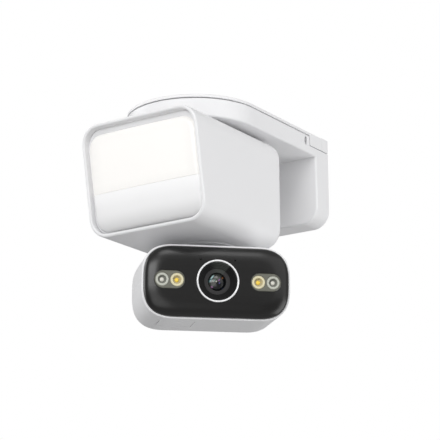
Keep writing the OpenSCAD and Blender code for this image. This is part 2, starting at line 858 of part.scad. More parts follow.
module white_leds() color("gold") {
    emitters(true);
}

module infrared_leds() color("silver") {
    emitters(false);
}

module led_boards() color("darkgreen") at_head() {
    for (s = [-1, 1])
        translate([s * window_x, 0, 0]) box([-10.5, face_y + 3.4, -7.5], [10.5, face_y + 4.6, 7.5]);
}

module head_board() color("darkgreen") at_head() {
    box([-35, -30, -19], [35, -28.6, 20]);
    box([-12, -28.6, -10], [4, -27, 6]);
    box([14, -28.6, 2], [26, -27.4, 12]);
}

module speaker() color("dimgray") at_head() translate([-head_w / 2 + head_wall, rim_y + 21, 0]) {
    rod_x(9.5, 0, 3);
    rod_x(6, 2.5, 6.5);
}

module tilt_motor() color("silver") at_head() at_tilt_pinion() difference() {
    union() {
        rod_x(9, 22, 40);
        rod_x(3.5, 39, 42);
    }
    rod_x(shaft_bore_r, 21, 28);
}

module tilt_pinion() color("goldenrod") at_head() at_tilt_pinion() {
    translate([tilt_gear_x, 0, 0]) rotate([90, 0, 90]) rotate([0, 0, 45 + 180 / pinion_teeth])
        linear_extrude(gear_t) gear_outline(pinion_teeth);
    rod_x(shaft_r, tilt_gear_x, 27);
}

// Card socket, with its mouth facing down through the floor of the well
module card_socket() color("silver") at_head() at_flap() translate([0, -2.8, 0]) difference() {
    box([-7.5, -1.8, 4.8], [7.5, 1.8, 20]);
    box([-5.6, -0.5, 4], [5.6, 0.5, 19]);
}

module reset_button() color("dimgray") at_head() at_flap() translate([6, 4.6, 0]) {
    rod_z(1.4, 3.4, 8);
    rod_z(2.6, 6, 8);
}

// Card cover under the head, hinged along its rear edge
module card_flap() color("white") at_head() intersection() {
    head_core(0);
    at_flap() {
        hinge_y = (flap_rear - flap_front) / 2 - 0.8;
        intersection() {
            linear_extrude(1.4) flap_plan(0);
            box([-flap_w, -flap_w, 0], [flap_w, hinge_y, 2]);
        }
        translate([0, hinge_y, 0.7]) rod_x(0.7, -flap_w / 2, flap_w / 2);
    }
}

wall_plate();
eave_plate();
bracket_shell();
plate_screws();
lock_screw();
swivel_bush();
friction_washer();
spring_washer();
lamp_housing();
swivel_spindle();
swivel_nut();
spindle_screws();
lamp_gasket();
lens_frame();
light_diffuser();
sensor_window();
frame_screws();
flood_reflector();
flood_leds();
flood_board();
heat_sink();
motion_sensors();
sensor_board();
battery_holder();
battery_cells();
main_board();
wifi_antenna();
charge_port();
port_cover();
power_button();
pan_bush();
pan_motor();
motor_screws();
pan_pinion();
neck();
pan_gear();
pan_clip();
neck_cable();
tilt_axle();
tilt_gear();
head_shell();
face_gasket();
face_plate();
lens_ring();
lens_barrel();
front_lens();
image_board();
left_led_window();
right_led_window();
led_reflectors();
white_leds();
infrared_leds();
led_boards();
head_board();
speaker();
tilt_motor();
tilt_pinion();
card_socket();
reset_button();
card_flap();
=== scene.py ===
"""Looks of a floodlight security camera: its bracket, floodlight box, neck and camera head.

Every sub-assembly is a class with its sizes in millimetres as fields.  Shapes are made in a
local frame and placed once, in their meshes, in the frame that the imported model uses.
"""

from __future__ import annotations

import json
import logging
import math
from dataclasses import dataclass, field
from enum import Enum
from typing import Any, Sequence

import bmesh
import bpy
from mathutils import Euler, Matrix, Vector


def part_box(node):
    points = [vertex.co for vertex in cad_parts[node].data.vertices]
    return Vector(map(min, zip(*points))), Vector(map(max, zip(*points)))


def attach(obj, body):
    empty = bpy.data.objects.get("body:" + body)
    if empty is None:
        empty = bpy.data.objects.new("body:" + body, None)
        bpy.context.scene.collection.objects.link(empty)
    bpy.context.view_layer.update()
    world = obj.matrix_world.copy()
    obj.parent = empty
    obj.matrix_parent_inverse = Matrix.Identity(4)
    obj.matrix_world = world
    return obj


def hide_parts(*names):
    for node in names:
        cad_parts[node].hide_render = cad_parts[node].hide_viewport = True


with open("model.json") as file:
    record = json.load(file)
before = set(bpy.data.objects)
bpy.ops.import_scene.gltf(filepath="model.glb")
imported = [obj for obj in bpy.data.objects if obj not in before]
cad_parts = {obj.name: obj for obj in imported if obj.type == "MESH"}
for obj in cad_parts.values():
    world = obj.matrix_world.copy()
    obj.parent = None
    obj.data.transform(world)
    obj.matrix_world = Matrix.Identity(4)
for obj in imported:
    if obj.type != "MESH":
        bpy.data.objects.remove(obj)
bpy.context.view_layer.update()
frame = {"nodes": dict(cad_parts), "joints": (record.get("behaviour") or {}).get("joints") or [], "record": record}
MM = 0.001
LOG = logging.getLogger("floodlight_camera")

Colour = tuple[float, float, float]
Flat = list[tuple[float, float]]
Socket = bpy.types.NodeSocket
Ring = list[Vector]
Stations = list[tuple[float, float]]


# ---------- shader trees ----------


class Sock:
    """A number in a shader tree, whose operators add Math nodes."""

    def __init__(self, graph: "Graph", socket: Socket) -> None:
        """Wraps one output socket.

        Args:
            graph: The tree that the socket belongs to.
            socket: The output socket.
        """
        self.graph = graph
        self.socket = socket

    def math(self, operation: str, first: Any, second: Any = None) -> "Sock":
        """Adds one Math node.

        Args:
            operation: The node's operation.
            first: Its first input, a Sock or a number.
            second: Its second input, if it has one.

        Returns:
            The node's result.
        """
        inputs = {0: first} if second is None else {0: first, 1: second}
        return Sock(self.graph, self.graph.node("ShaderNodeMath", {"operation": operation}, inputs).outputs[0])

    def __add__(self, other: Any) -> "Sock":
        """self + other."""
        return self.math("ADD", self, other)

    def __radd__(self, other: Any) -> "Sock":
        """other + self."""
        return self.math("ADD", other, self)

    def __sub__(self, other: Any) -> "Sock":
        """self - other."""
        return self.math("SUBTRACT", self, other)

    def __rsub__(self, other: Any) -> "Sock":
        """other - self."""
        return self.math("SUBTRACT", other, self)

    def __mul__(self, other: Any) -> "Sock":
        """self * other."""
        return self.math("MULTIPLY", self, other)

    def __rmul__(self, other: Any) -> "Sock":
        """other * self."""
        return self.math("MULTIPLY", other, self)

    def __truediv__(self, other: Any) -> "Sock":
        """self / other."""
        return self.math("DIVIDE", self, other)

    def __pow__(self, other: Any) -> "Sock":
        """self to the power other."""
        return self.math("POWER", self, other)

    def size(self) -> "Sock":
        """The value without its sign."""
        return self.math("ABSOLUTE", self)

    def wave(self) -> "Sock":
        """The sine of the value."""
        return self.math("SINE", self)

    def ramp(self, low: float, high: float, start: float = 0.0, end: float = 1.0) -> "Sock":
        """Turns the span low..high smoothly into start..end, and holds it outside.

        Args:
            low: Value that gives start.
            high: Value that gives end.
            start: Result at low.
            end: Result at high.

        Returns:
            The result.
        """
        inputs = {"Value": self, "From Min": low, "From Max": high, "To Min": start, "To Max": end}
        node = self.graph.node("ShaderNodeMapRange", {"interpolation_type": "SMOOTHSTEP"}, inputs)
        return Sock(self.graph, node.outputs[0])


class Graph:
    """One material's node tree."""

    def __init__(self, name: str) -> None:
        """Starts a material with a Principled surface.

        Args:
            name: The material's name.
        """
        self.material = bpy.data.materials.new(name)
        self.material.use_nodes = True
        self.tree = self.material.node_tree
        self.tree.nodes.clear()
        self.surface = self.node("ShaderNodeBsdfPrincipled")
        self.output = self.node("ShaderNodeOutputMaterial", {}, {"Surface": self.surface.outputs[0]})
        self.place = self.node("ShaderNodeTexCoord").outputs["Object"]

    def node(self, kind: str, settings: dict | None = None, inputs: dict | None = None) -> bpy.types.Node:
        """Adds any node.

        Args:
            kind: The node's type.
            settings: Its properties, set first; "stops" fills a colour ramp.
            inputs: Values, Socks or sockets by input name or number.

        Returns:
            The node.
        """
        made = self.tree.nodes.new(kind)
        for key, value in (settings or {}).items():
            if key == "stops":
                while len(made.color_ramp.elements) < len(value):
                    made.color_ramp.elements.new(0.5)
                for element, (where, tone) in zip(made.color_ramp.elements, value):
                    element.position = where
                    element.color = (*tone, 1)
            else:
                setattr(made, key, value)
        for key, value in (inputs or {}).items():
            self.feed(made.inputs[key], value)
        return made

    def feed(self, target: Socket, value: Any) -> None:
        """Links or sets one input.

        Args:
            target: The input socket.
            value: A Sock, a socket, a number, or a colour or vector.
        """
        source = value.socket if isinstance(value, Sock) else value
        if isinstance(source, Socket):
            self.tree.links.new(source, target)
        elif isinstance(source, (tuple, list)) and target.type == "RGBA":
            target.default_value = (*source, 1)
        else:
            target.default_value = source

    def coat(self, inputs: dict[str, Any]) -> None:
        """Links or sets several inputs of the surface.

        Args:
            inputs: Values, Socks or sockets by input name.
        """
        for key, value in inputs.items():
            self.feed(self.surface.inputs[key], value)

    def noise(self, scale: float, detail: float = 2.0, where: Any = None, rough: float = 0.5) -> Sock:
        """Cloudy noise.

        Args:
            scale: Features in a metre.
            detail: Octaves.
            where: Coordinates, if not the object's own.
            rough: Strength of the finer octaves.

        Returns:
            The noise, about 0 to 1.
        """
        inputs = {"Vector": where or self.place, "Scale": scale, "Detail": detail, "Roughness": rough}
        return Sock(self, self.node("ShaderNodeTexNoise", {}, inputs).outputs[0])

    def cells(self, scale: float, feature: str = "F1") -> Sock:
        """Distance in a cell pattern.

        Args:
            scale: Cells in a metre.
            feature: The cell pattern's feature.

        Returns:
            The distance.
        """
        node = self.node("ShaderNodeTexVoronoi", {"feature": feature}, {"Vector": self.place, "Scale": scale})
        return Sock(self, node.outputs["Distance"])

    def blend(self, factor: Any, first: Any, second: Any) -> Socket:
        """Mixes two colours.

        Args:
            factor: 0 for the first, 1 for the second.
            first: A colour or a colour socket.
            second: A colour or a colour socket.

        Returns:
            The mixed colour's socket.
        """
        node = self.node("ShaderNodeMix", {"data_type": "RGBA"}, {0: factor, 6: first, 7: second})
        return node.outputs[2]

    def local(self, place: Matrix) -> tuple[Sock, Sock, Sock]:
        """Coordinates in a local frame, in millimetres.

        Args:
            place: The frame's matrix, in metres.

        Returns:
            The three coordinates.
        """
        back = place.inverted()
        inputs = {
            "Vector": self.place,
            "Location": tuple(back.translation / MM),
            "Rotation": back.to_euler(),
            "Scale": (1 / MM, 1 / MM, 1 / MM),
        }
        mapped = self.node("ShaderNodeMapping", {"vector_type": "POINT"}, inputs)
        parts = self.node("ShaderNodeSeparateXYZ", {}, {0: mapped.outputs[0]})
        return tuple(Sock(self, out) for out in parts.outputs)

    def bump(self, height: Sock, depth: float, strength: float = 1.0, below: Any = None) -> Socket:
        """Turns heights into a surface normal.

        Args:
            height: The heights, about 0 to 1.
            depth: Depth of one unit of height, in metres.
            strength: Strength of the effect.
            below: Normal to build on.

        Returns:
            The normal's socket.
        """
        inputs = {"Height": height, "Distance": depth, "Strength": strength}
        if below is not None:
            inputs["Normal"] = below
        return self.node("ShaderNodeBump", {}, inputs).outputs[0]


def tone(colour: Colour, factor: float) -> Colour:
    """A colour made lighter or darker by a factor."""
    return tuple(min(1.0, part * factor) for part in colour)


# ---------- finishes ----------


@dataclass(frozen=True)
class Finish:
    """A surface finish, made into a material once."""

    name: str
    colour: Colour
    roughness: float = 0.45

    def material(self) -> bpy.types.Material:
        """The finish's material, built the first time it is asked for."""
        made = bpy.data.materials.get(self.name)
        if made is None:
            graph = Graph(self.name)
            self.dress(graph)
            made = graph.material
        return made

    def dress(self, graph: Graph) -> None:
        """Fills in the tree; each kind of finish has its own."""
        raise NotImplementedError


@dataclass(frozen=True)
class MouldedPlastic(Finish):
    """Injection-moulded plastic with a fine spark-eroded grain."""

    grain: float = 2600.0
    depth: float = 0.00002
    tint: float = 0.02
    speck: float = 0.05

    def dress(self, graph: Graph) -> None:
        """Soft drift in tone, rare specks, an even grain and slightly uneven gloss."""
        broad = graph.noise(14, 3)
        middle = graph.noise(240, 3)
        specks = graph.noise(1900, 1).ramp(0.73, 0.8)
        body = graph.blend(broad, tone(self.colour, 1 - self.tint), tone(self.colour, 1 + self.tint))
        body = graph.blend(specks * self.speck * 4, body, tone(self.colour, 0.72))
        rub = graph.noise(60, 4, rough=0.65).ramp(0.45, 0.7)
        graph.coat({
            "Base Color": body,
            "Roughness": self.roughness + (middle - 0.5) * 0.1 - rub * 0.04,
            "IOR": 1.48,
        })
        grain = graph.cells(self.grain) + graph.noise(self.grain * 0.7, 2) * 0.6
        wave = graph.bump(broad, 0.00008, 0.35)
        graph.coat({"Normal": graph.bump(grain, self.depth, 0.35, wave)})


@dataclass(frozen=True)
class GlossPlastic(Finish):
    """Polished plastic under a hard clear coat, with faint dust and hairline wipes."""

    coat: float = 0.3
    coat_roughness: float = 0.08

    def dress(self, graph: Graph) -> None:
        """Deep colour, wipe marks in the gloss, and rare dust."""
        stretched = graph.node("ShaderNodeMapping", {}, {"Vector": graph.place, "Scale": (1, 1, 14)})
        wipes = graph.noise(160, 3, stretched.outputs[0], 0.6).ramp(0.5, 0.75)
        flakes = graph.cells(5200).ramp(0.0, 0.16, 1.0, 0.0)
        broad = graph.noise(20, 2)
        dust = graph.noise(2300, 1).ramp(0.75, 0.82)
        body = graph.blend(broad, tone(self.colour, 0.88), tone(self.colour, 1.12))
        body = graph.blend(flakes * 0.08, body, tone(self.colour, 2.2))
        body = graph.blend(dust * 0.06, body, (0.4, 0.4, 0.4))
        graph.coat({
            "Base Color": body,
            "Roughness": self.roughness + wipes * 0.05 + dust * 0.12,
            "Coat Weight": self.coat - wipes * 0.06,
            "Coat Roughness": self.coat_roughness,
            "Normal": graph.bump(graph.noise(420, 2), 0.00001, 0.2),
        })


@dataclass(frozen=True)
class GlowPanel(Finish):
    """Opal cover over a field of LEDs: lit from behind, softly brighter over each LED."""

    glow: Colour = (1.0, 0.985, 0.955)
    power: float = 0.34
    pitch: tuple[float, float] = (66 / 7, 8.0)
    place: tuple[tuple[float, ...], ...] = ()
    middle: float = 11.2

    def dress(self, graph: Graph) -> None:
        """Glow that fades to the edges, with a soft rise over each LED and a fine opal grain."""
        across, _, up = graph.local(Matrix(self.place))
        blobs_x = ((across + self.pitch[0] / 2) * (2 * math.pi / self.pitch[0])).wave()
        blobs_z = ((up - self.middle) * (2 * math.pi / self.pitch[1])).wave()
        blobs = (blobs_x + blobs_z).ramp(0.4, 2.0)
        edge = across.size().ramp(32, 45, 1.0, 0.0) * (up - self.middle).size().ramp(13, 23, 1.0, 0.0)
        grain = graph.noise(3200, 2)
        cloud = graph.noise(90, 3)
        body = graph.blend(cloud, tone(self.colour, 0.985), self.colour)
        graph.coat({
            "Base Color": body,
            "Roughness": self.roughness + (grain - 0.5) * 0.06,
        })
        level = edge * 0.12 + 0.88 + blobs * 0.03
        dark = graph.blend(level, (0.0, 0.0, 0.0), self.glow)
        graph.coat({
            "Emission Color": dark,
            "Emission Strength": self.power,
            "Coat Weight": 0.25,
            "Normal": graph.bump(grain, 0.000012, 0.3),
        })


@dataclass(frozen=True)
class OpalGloss(Finish):
    """Glossy opal window, with a painted glow near its top, standing for lamp light that leaks down inside it, and
    painted shade towards its bottom.
    """

    place: tuple[tuple[float, ...], ...] = ()

    def dress(self, graph: Graph) -> None:
        """Milky body, a painted glow near the top, painted shade towards the bottom, and a polished skin."""
        _, _, up = graph.local(Matrix(self.place))
        cloud = graph.noise(70, 3)
        # Painted glow: emission near the top of a window that is no lamp.
        painted_glow_top = up.ramp(-24, -9, 0.0, 1.0)
        # Painted shade: the body darkens towards the bottom.
        shade = up.ramp(-38, -22, 1.0, 0.0)
        body = graph.blend(cloud, tone(self.colour, 0.975), self.colour)
        body = graph.blend(shade * 0.8, body, tone(self.colour, 0.64))
        graph.coat({
            "Base Color": body,
            "Roughness": self.roughness + cloud * 0.05,
            "Emission Color": graph.blend(painted_glow_top, (0, 0, 0), (1.0, 0.995, 0.985)),
            "Emission Strength": 0.09,
            "Coat Weight": 0.6,
            "Coat Roughness": 0.06,
            "Normal": graph.bump(graph.noise(55, 2), 0.00005, 0.3),
        })


class Working(Enum):
    """How a metal surface was worked."""

    TURNED = "turned"
    ROLLED = "rolled"
    PLATED = "plated"


@dataclass(frozen=True)
class Metal(Finish):
    """Bare or plated metal, with the marks of its working."""

    working: Working = Working.PLATED

    def dress(self, graph: Graph) -> None:
        """Tool marks or plating cloud in gloss and tone, with darker handling stains."""
        stretch = {
            Working.TURNED: (1, 1, 30),
            Working.ROLLED: (1, 22, 1),
            Working.PLATED: (3, 3, 3),
        }[self.working]
        mapped = graph.node("ShaderNodeMapping", {}, {"Vector": graph.place, "Scale": stretch})
        marks = graph.noise(420, 4, mapped.outputs[0], 0.7)
        stain = graph.noise(120, 3).ramp(0.5, 0.8)
        body = graph.blend(marks, tone(self.colour, 0.86), tone(self.colour, 1.1))
        body = graph.blend(stain * 0.25, body, tone(self.colour, 0.6))
        graph.coat({
            "Base Color": body,
            "Metallic": 1.0,
            "Roughness": self.roughness + (marks - 0.5) * 0.18 + stain * 0.12,
            "Normal": graph.bump(marks, 0.00001, 0.4),
        })


@dataclass(frozen=True)
class Rubber(Finish):
    """Soft matt rubber with a dusty bloom."""

    def dress(self, graph: Graph) -> None:
        """Matt pebble grain and a pale bloom in patches."""
        bloom = graph.noise(150, 4, rough=0.7).ramp(0.45, 0.75)
        body = graph.blend(bloom * 0.3, self.colour, tone(self.colour, 1.5))
        grain = graph.cells(2400, "SMOOTH_F1") + graph.noise(5200, 2) * 0.4
        graph.coat({
            "Base Color": body,
            "Roughness": self.roughness + bloom * 0.12,
            "Normal": graph.bump(grain, 0.00003, 0.5),
        })


@dataclass(frozen=True)
class CircuitBoard(Finish):
    """Solder mask over copper tracks, with vias and pads."""

    copper: Colour = (0.78, 0.6, 0.3)

    def dress(self, graph: Graph) -> None:
        """Raised tracks seen through the mask, tinned pads and weave of the laminate."""
        tracks = graph.cells(420, "DISTANCE_TO_EDGE").ramp(0.02, 0.09, 1.0, 0.0)
        vias = graph.cells(700).ramp(0.1, 0.16, 1.0, 0.0)
        weave = graph.noise(1600, 1)
        body = graph.blend(weave * 0.2, self.colour, tone(self.colour, 0.7))
        body = graph.blend(tracks * 0.55, body, tone(self.colour, 1.9))
        body = graph.blend(vias * 0.9, body, self.copper)
        graph.coat({
            "Base Color": body,
            "Metallic": vias * 0.9,
            "Roughness": self.roughness + weave * 0.08,
            "Normal": graph.bump(tracks + vias, 0.00003, 0.6),
        })


@dataclass(frozen=True)
class CellSleeve(Finish):
    """Shrink sleeve round a battery cell, with a bare end band."""

    half_length: float = 32.5

    def dress(self, graph: Graph) -> None:
        """Glossy sleeve with shrink ripples, and dull metal past its ends."""
        across, _, _ = graph.local(Matrix.Identity(4))
        bare = across.size().ramp(self.half_length - 1.4, self.half_length - 0.9)
        stripe = (across - 20).size().ramp(2.2, 2.6, 1.0, 0.0)
        ripple = graph.noise(300, 3)
        body = graph.blend(ripple * 0.2, self.colour, tone(self.colour, 1.25))
        body = graph.blend(stripe, body, (0.75, 0.76, 0.78))
        body = graph.blend(bare, body, (0.6, 0.6, 0.61))
        graph.coat({
            "Base Color": body,
            "Metallic": bare,
            "Roughness": self.roughness + ripple * 0.15,
            "Normal": graph.bump(ripple, 0.00005, 0.4),
        })


@dataclass(frozen=True)
class RingedBlack(Finish):
    """Blackened lens barrel: matt steps, and a paler ring round the glass."""

    place: tuple[tuple[float, ...], ...] = ()
    pale: Colour = (0.032, 0.031, 0.032)

    def dress(self, graph: Graph) -> None:
        """Turning lines round the axis, a tone for each distance from it, and a painted reflection above."""
        across, _, up = graph.local(Matrix(self.place))
        reach = (across * across + up * up) ** 0.5
        ring = reach.ramp(9.0, 9.35, 1.0, 0.0)
        lines = (reach * 26).wave() * 0.5 + 0.5
        cloud = graph.noise(500, 3)
        body = graph.blend(cloud, tone(self.colour, 0.8), tone(self.colour, 1.2))
        body = graph.blend(ring, body, self.pale)
        # Painted reflection: a lighter greenish wedge over the upper part, standing for a softbox seen in the
        # glass.
        painted_reflection_wedge = (up * 0.63 - across * 0.777).ramp(0.0, 0.4) * (across * 0.94 + up * 0.34).ramp(-3, 4)
        body = graph.blend(painted_reflection_wedge * 0.5, body, (0.06, 0.068, 0.06))
        graph.coat({
            "Base Color": body,
            "Roughness": self.roughness - ring * 0.1 + cloud * 0.08,
            "IOR": 1.3,
            "Normal": graph.bump(lines, 0.00001, 0.3),
        })


@dataclass(frozen=True)
class CoatedGlass(Finish):
    """Front element with a many-layered coating, whose reflections are painted into the glass's colour."""

    place: tuple[tuple[float, ...], ...] = ()

    def dress(self, graph: Graph) -> None:
        """Dark glass with a painted lighter half, and teal, violet and amber spots of painted reflection from the
        coating.
        """
        across, _, up = graph.local(Matrix(self.place))
        reach = (across * across + up * up) ** 0.5
        # Painted highlight: the upper-left half of the glass is lighter, as a reflection of the lights would make
        # it.
        lit = (up * 0.63 - across * 0.777).ramp(-0.25, 0.35)
        body = graph.blend(lit * reach.ramp(1.2, 4.5, 1.0, 0.55), self.colour, (0.06, 0.062, 0.055))
        # Nine soft spots of painted reflection in the coating's colours; they turn with the head and don't change
        # with the light.
        for x, z, length, width, tint, weight in (
            (-3.3, 3.3, 2.6, 0.75, (0.42, 0.62, 0.62), 0.95),
            (-4.6, 0.8, 2.4, 1.2, (0.03, 0.16, 0.17), 0.7),
            (-1.9, 0.9, 1.8, 0.5, (0.12, 0.3, 0.24), 0.7),
            (-0.7, 0.2, 0.7, 0.8, (0.62, 0.6, 0.56), 0.95),
            (1.3, 1.2, 1.5, 0.6, (0.30, 0.10, 0.34), 0.9),
            (1.5, -0.9, 0.9, 0.6, (0.12, 0.08, 0.36), 0.8),
            (-3.5, -3.6, 0.9, 1.3, (0.34, 0.16, 0.34), 0.85),
            (3.9, 2.9, 1.7, 0.9, (0.24, 0.09, 0.03), 0.7),
            (4.0, -4.6, 1.6, 0.5, (0.06, 0.10, 0.26), 0.8),
        ):
            along = (across - x) * (0.63 / length) + (up - z) * (0.777 / length)
            aside = (up - z) * (0.63 / width) - (across - x) * (0.777 / width)
            away = (along * along + aside * aside) ** 0.5
            body = graph.blend(away.ramp(0.15, 1.0, weight, 0.0), body, tint)
        rim = reach.ramp(5.7, 6.2)
        body = graph.blend(rim, body, (0.006, 0.006, 0.007))
        graph.coat({
            "Base Color": body,
            "Roughness": self.roughness + graph.noise(700, 2) * 0.02,
            "Coat Weight": 0.15,
            "Coat Roughness": 0.02,
        })


@dataclass(frozen=True)
class SmokedWindow(Finish):
    """Smoke-grey clear plate that is darker towards its edge."""

    place: tuple[tuple[float, ...], ...] = ()
    centre: float = 33.4
    half_width: float = 10.7
    half_height: float = 6.4

    def dress(self, graph: Graph) -> None:
        """Grey body, paler in the middle, under a polished skin."""
        across, _, up = graph.local(Matrix(self.place))
        along = (across.size() - self.centre).size() - (self.half_width - self.half_height)
        along = along.math("MAXIMUM", along, 0.0)
        reach = (along * along + up * up) ** 0.5
        # Darker towards the edge.
        edge = reach.ramp(self.half_height - 0.9, self.half_height - 0.1)
        haze = graph.noise(420, 3)
        body = graph.blend(haze, tone(self.colour, 0.92), tone(self.colour, 1.08))
        body = graph.blend(edge * 0.85, body, tone(self.colour, 0.35))
        graph.coat({
            "Base Color": body,
            "Roughness": self.roughness + haze * 0.04,
            "Coat Weight": 0.4,
            "Coat Roughness": 0.04,
        })


@dataclass(frozen=True)
class LampDish(Finish):
    """Moulded dish round each small LED: warm round the inner ones, cool round the outer ones."""

    place: tuple[tuple[float, ...], ...] = ()
    warm: Colour = (0.72, 0.66, 0.44)
    centre: float = 33.4
    pitch: float = 10.25
    lip: float = 3.0

    def dress(self, graph: Graph) -> None:
        """Pale lip and painted shade in the bowl, with tone by the distance from each LED."""
        across, _, up = graph.local(Matrix(self.place))
        side = across.size() - self.centre
        inner = side.ramp(-0.5, 0.5, 1.0, 0.0)
        near = side.size() - self.pitch / 2
        reach = (near * near + up * up) ** 0.5
        bowl = reach.ramp(self.lip - 0.25, self.lip + 0.1, 1.0, 0.0)
        grain = graph.noise(900, 2)
        lip = graph.blend(inner, self.colour, self.warm)
        lip = graph.blend(grain * 0.2, lip, tone(self.colour, 0.8))
        # Painted shade: the bowl inside the lip is darkened as shade in the cone would darken it.
        depth = graph.blend(inner, tone(self.colour, 0.42), tone(self.warm, 0.7))
        graph.coat({
            "Base Color": graph.blend(bowl, lip, depth),
            "Roughness": self.roughness + grain * 0.1,
            "Coat Weight": 0.25,
        })


@dataclass(frozen=True)
class LedChip(Finish):
    """Phosphor or clear resin over an LED die."""

    glow: float = 0.25

    def dress(self, graph: Graph) -> None:
        """Grainy phosphor that shines a little."""
        grain = graph.noise(3800, 3)
        body = graph.blend(grain, tone(self.colour, 0.85), tone(self.colour, 1.1))
        graph.coat({
            "Base Color": body,
            "Roughness": self.roughness + grain * 0.1,
            "Emission Color": body,
            "Emission Strength": self.glow,
        })


# ---------- solids ----------

CRISP = 32.0


def rounded(width: float, height: float, corner: float, power: float = 2.0, steps: int = 14,
            side: int = 0) -> Flat:
    """Outline of a rectangle with round corners.

    Args:
        width: Full width.
        height: Full height.
        corner: Corner radius.
        power: 2 for circular corners, more for squarer, softer ones.
        steps: Steps in each corner.
        side: Points added along each straight side.

    Returns:
        The outline, counter-clockwise.
    """
    corner = min(corner, width / 2 - 0.01, height / 2 - 0.01)
    points: Flat = []
    for quarter, (sx, sz) in enumerate(((1, 1), (-1, 1), (-1, -1), (1, -1))):
        for step in range(steps + 1):
            angle = (quarter + step / steps) * math.pi / 2
            cos, sin = math.cos(angle), math.sin(angle)
            reach = corner * (abs(cos) ** power + abs(sin) ** power) ** (-1 / power)
            points.append((sx * (width / 2 - corner) + reach * cos, sz * (height / 2 - corner) + reach * sin))
        start = points[-1]
        end = (start[0] - sx * (width - 2 * corner), start[1]) if sx == sz else (
            start[0], start[1] - sz * (height - 2 * corner))
        points += [tuple(a + (b - a) * k / (side + 1) for a, b in zip(start, end)) for k in range(1, side + 1)]
    return points


def roll(start: float, end: float, inset: float, steps: int = 8, power: float = 2.0) -> Stations:
    """Stations of a rounded edge, from a side to a face.

    Args:
        start: Where the edge begins on the side.
        end: Where the face is.
        inset: How far in the face begins.
        steps: Steps in the edge.
        power: 2 for a circular edge, more for a squarer one.

    Returns:
        Pairs of position and inset.
    """
    out: Stations = []
    for step in range(steps + 1):
        angle = step / steps * math.pi / 2
        cos, sin = math.cos(angle), math.sin(angle)
        reach = (abs(cos) ** power + abs(sin) ** power) ** (-1 / power)
        out.append((start + (end - start) * reach * sin, inset * (1 - reach * cos)))
    return out


class Axis(Enum):
    """Direction that a flat outline is drawn out along."""

    X = "x"
    Y = "y"
    Z = "z"

    def lift(self, a: float, b: float, along: float) -> Vector:
        """Puts a flat point (a, b) at a distance along the axis."""
        if self is Axis.X:
            return Vector((along, a, b))
        if self is Axis.Y:
            return Vector((a, along, b))
        return Vector((a, b, along))


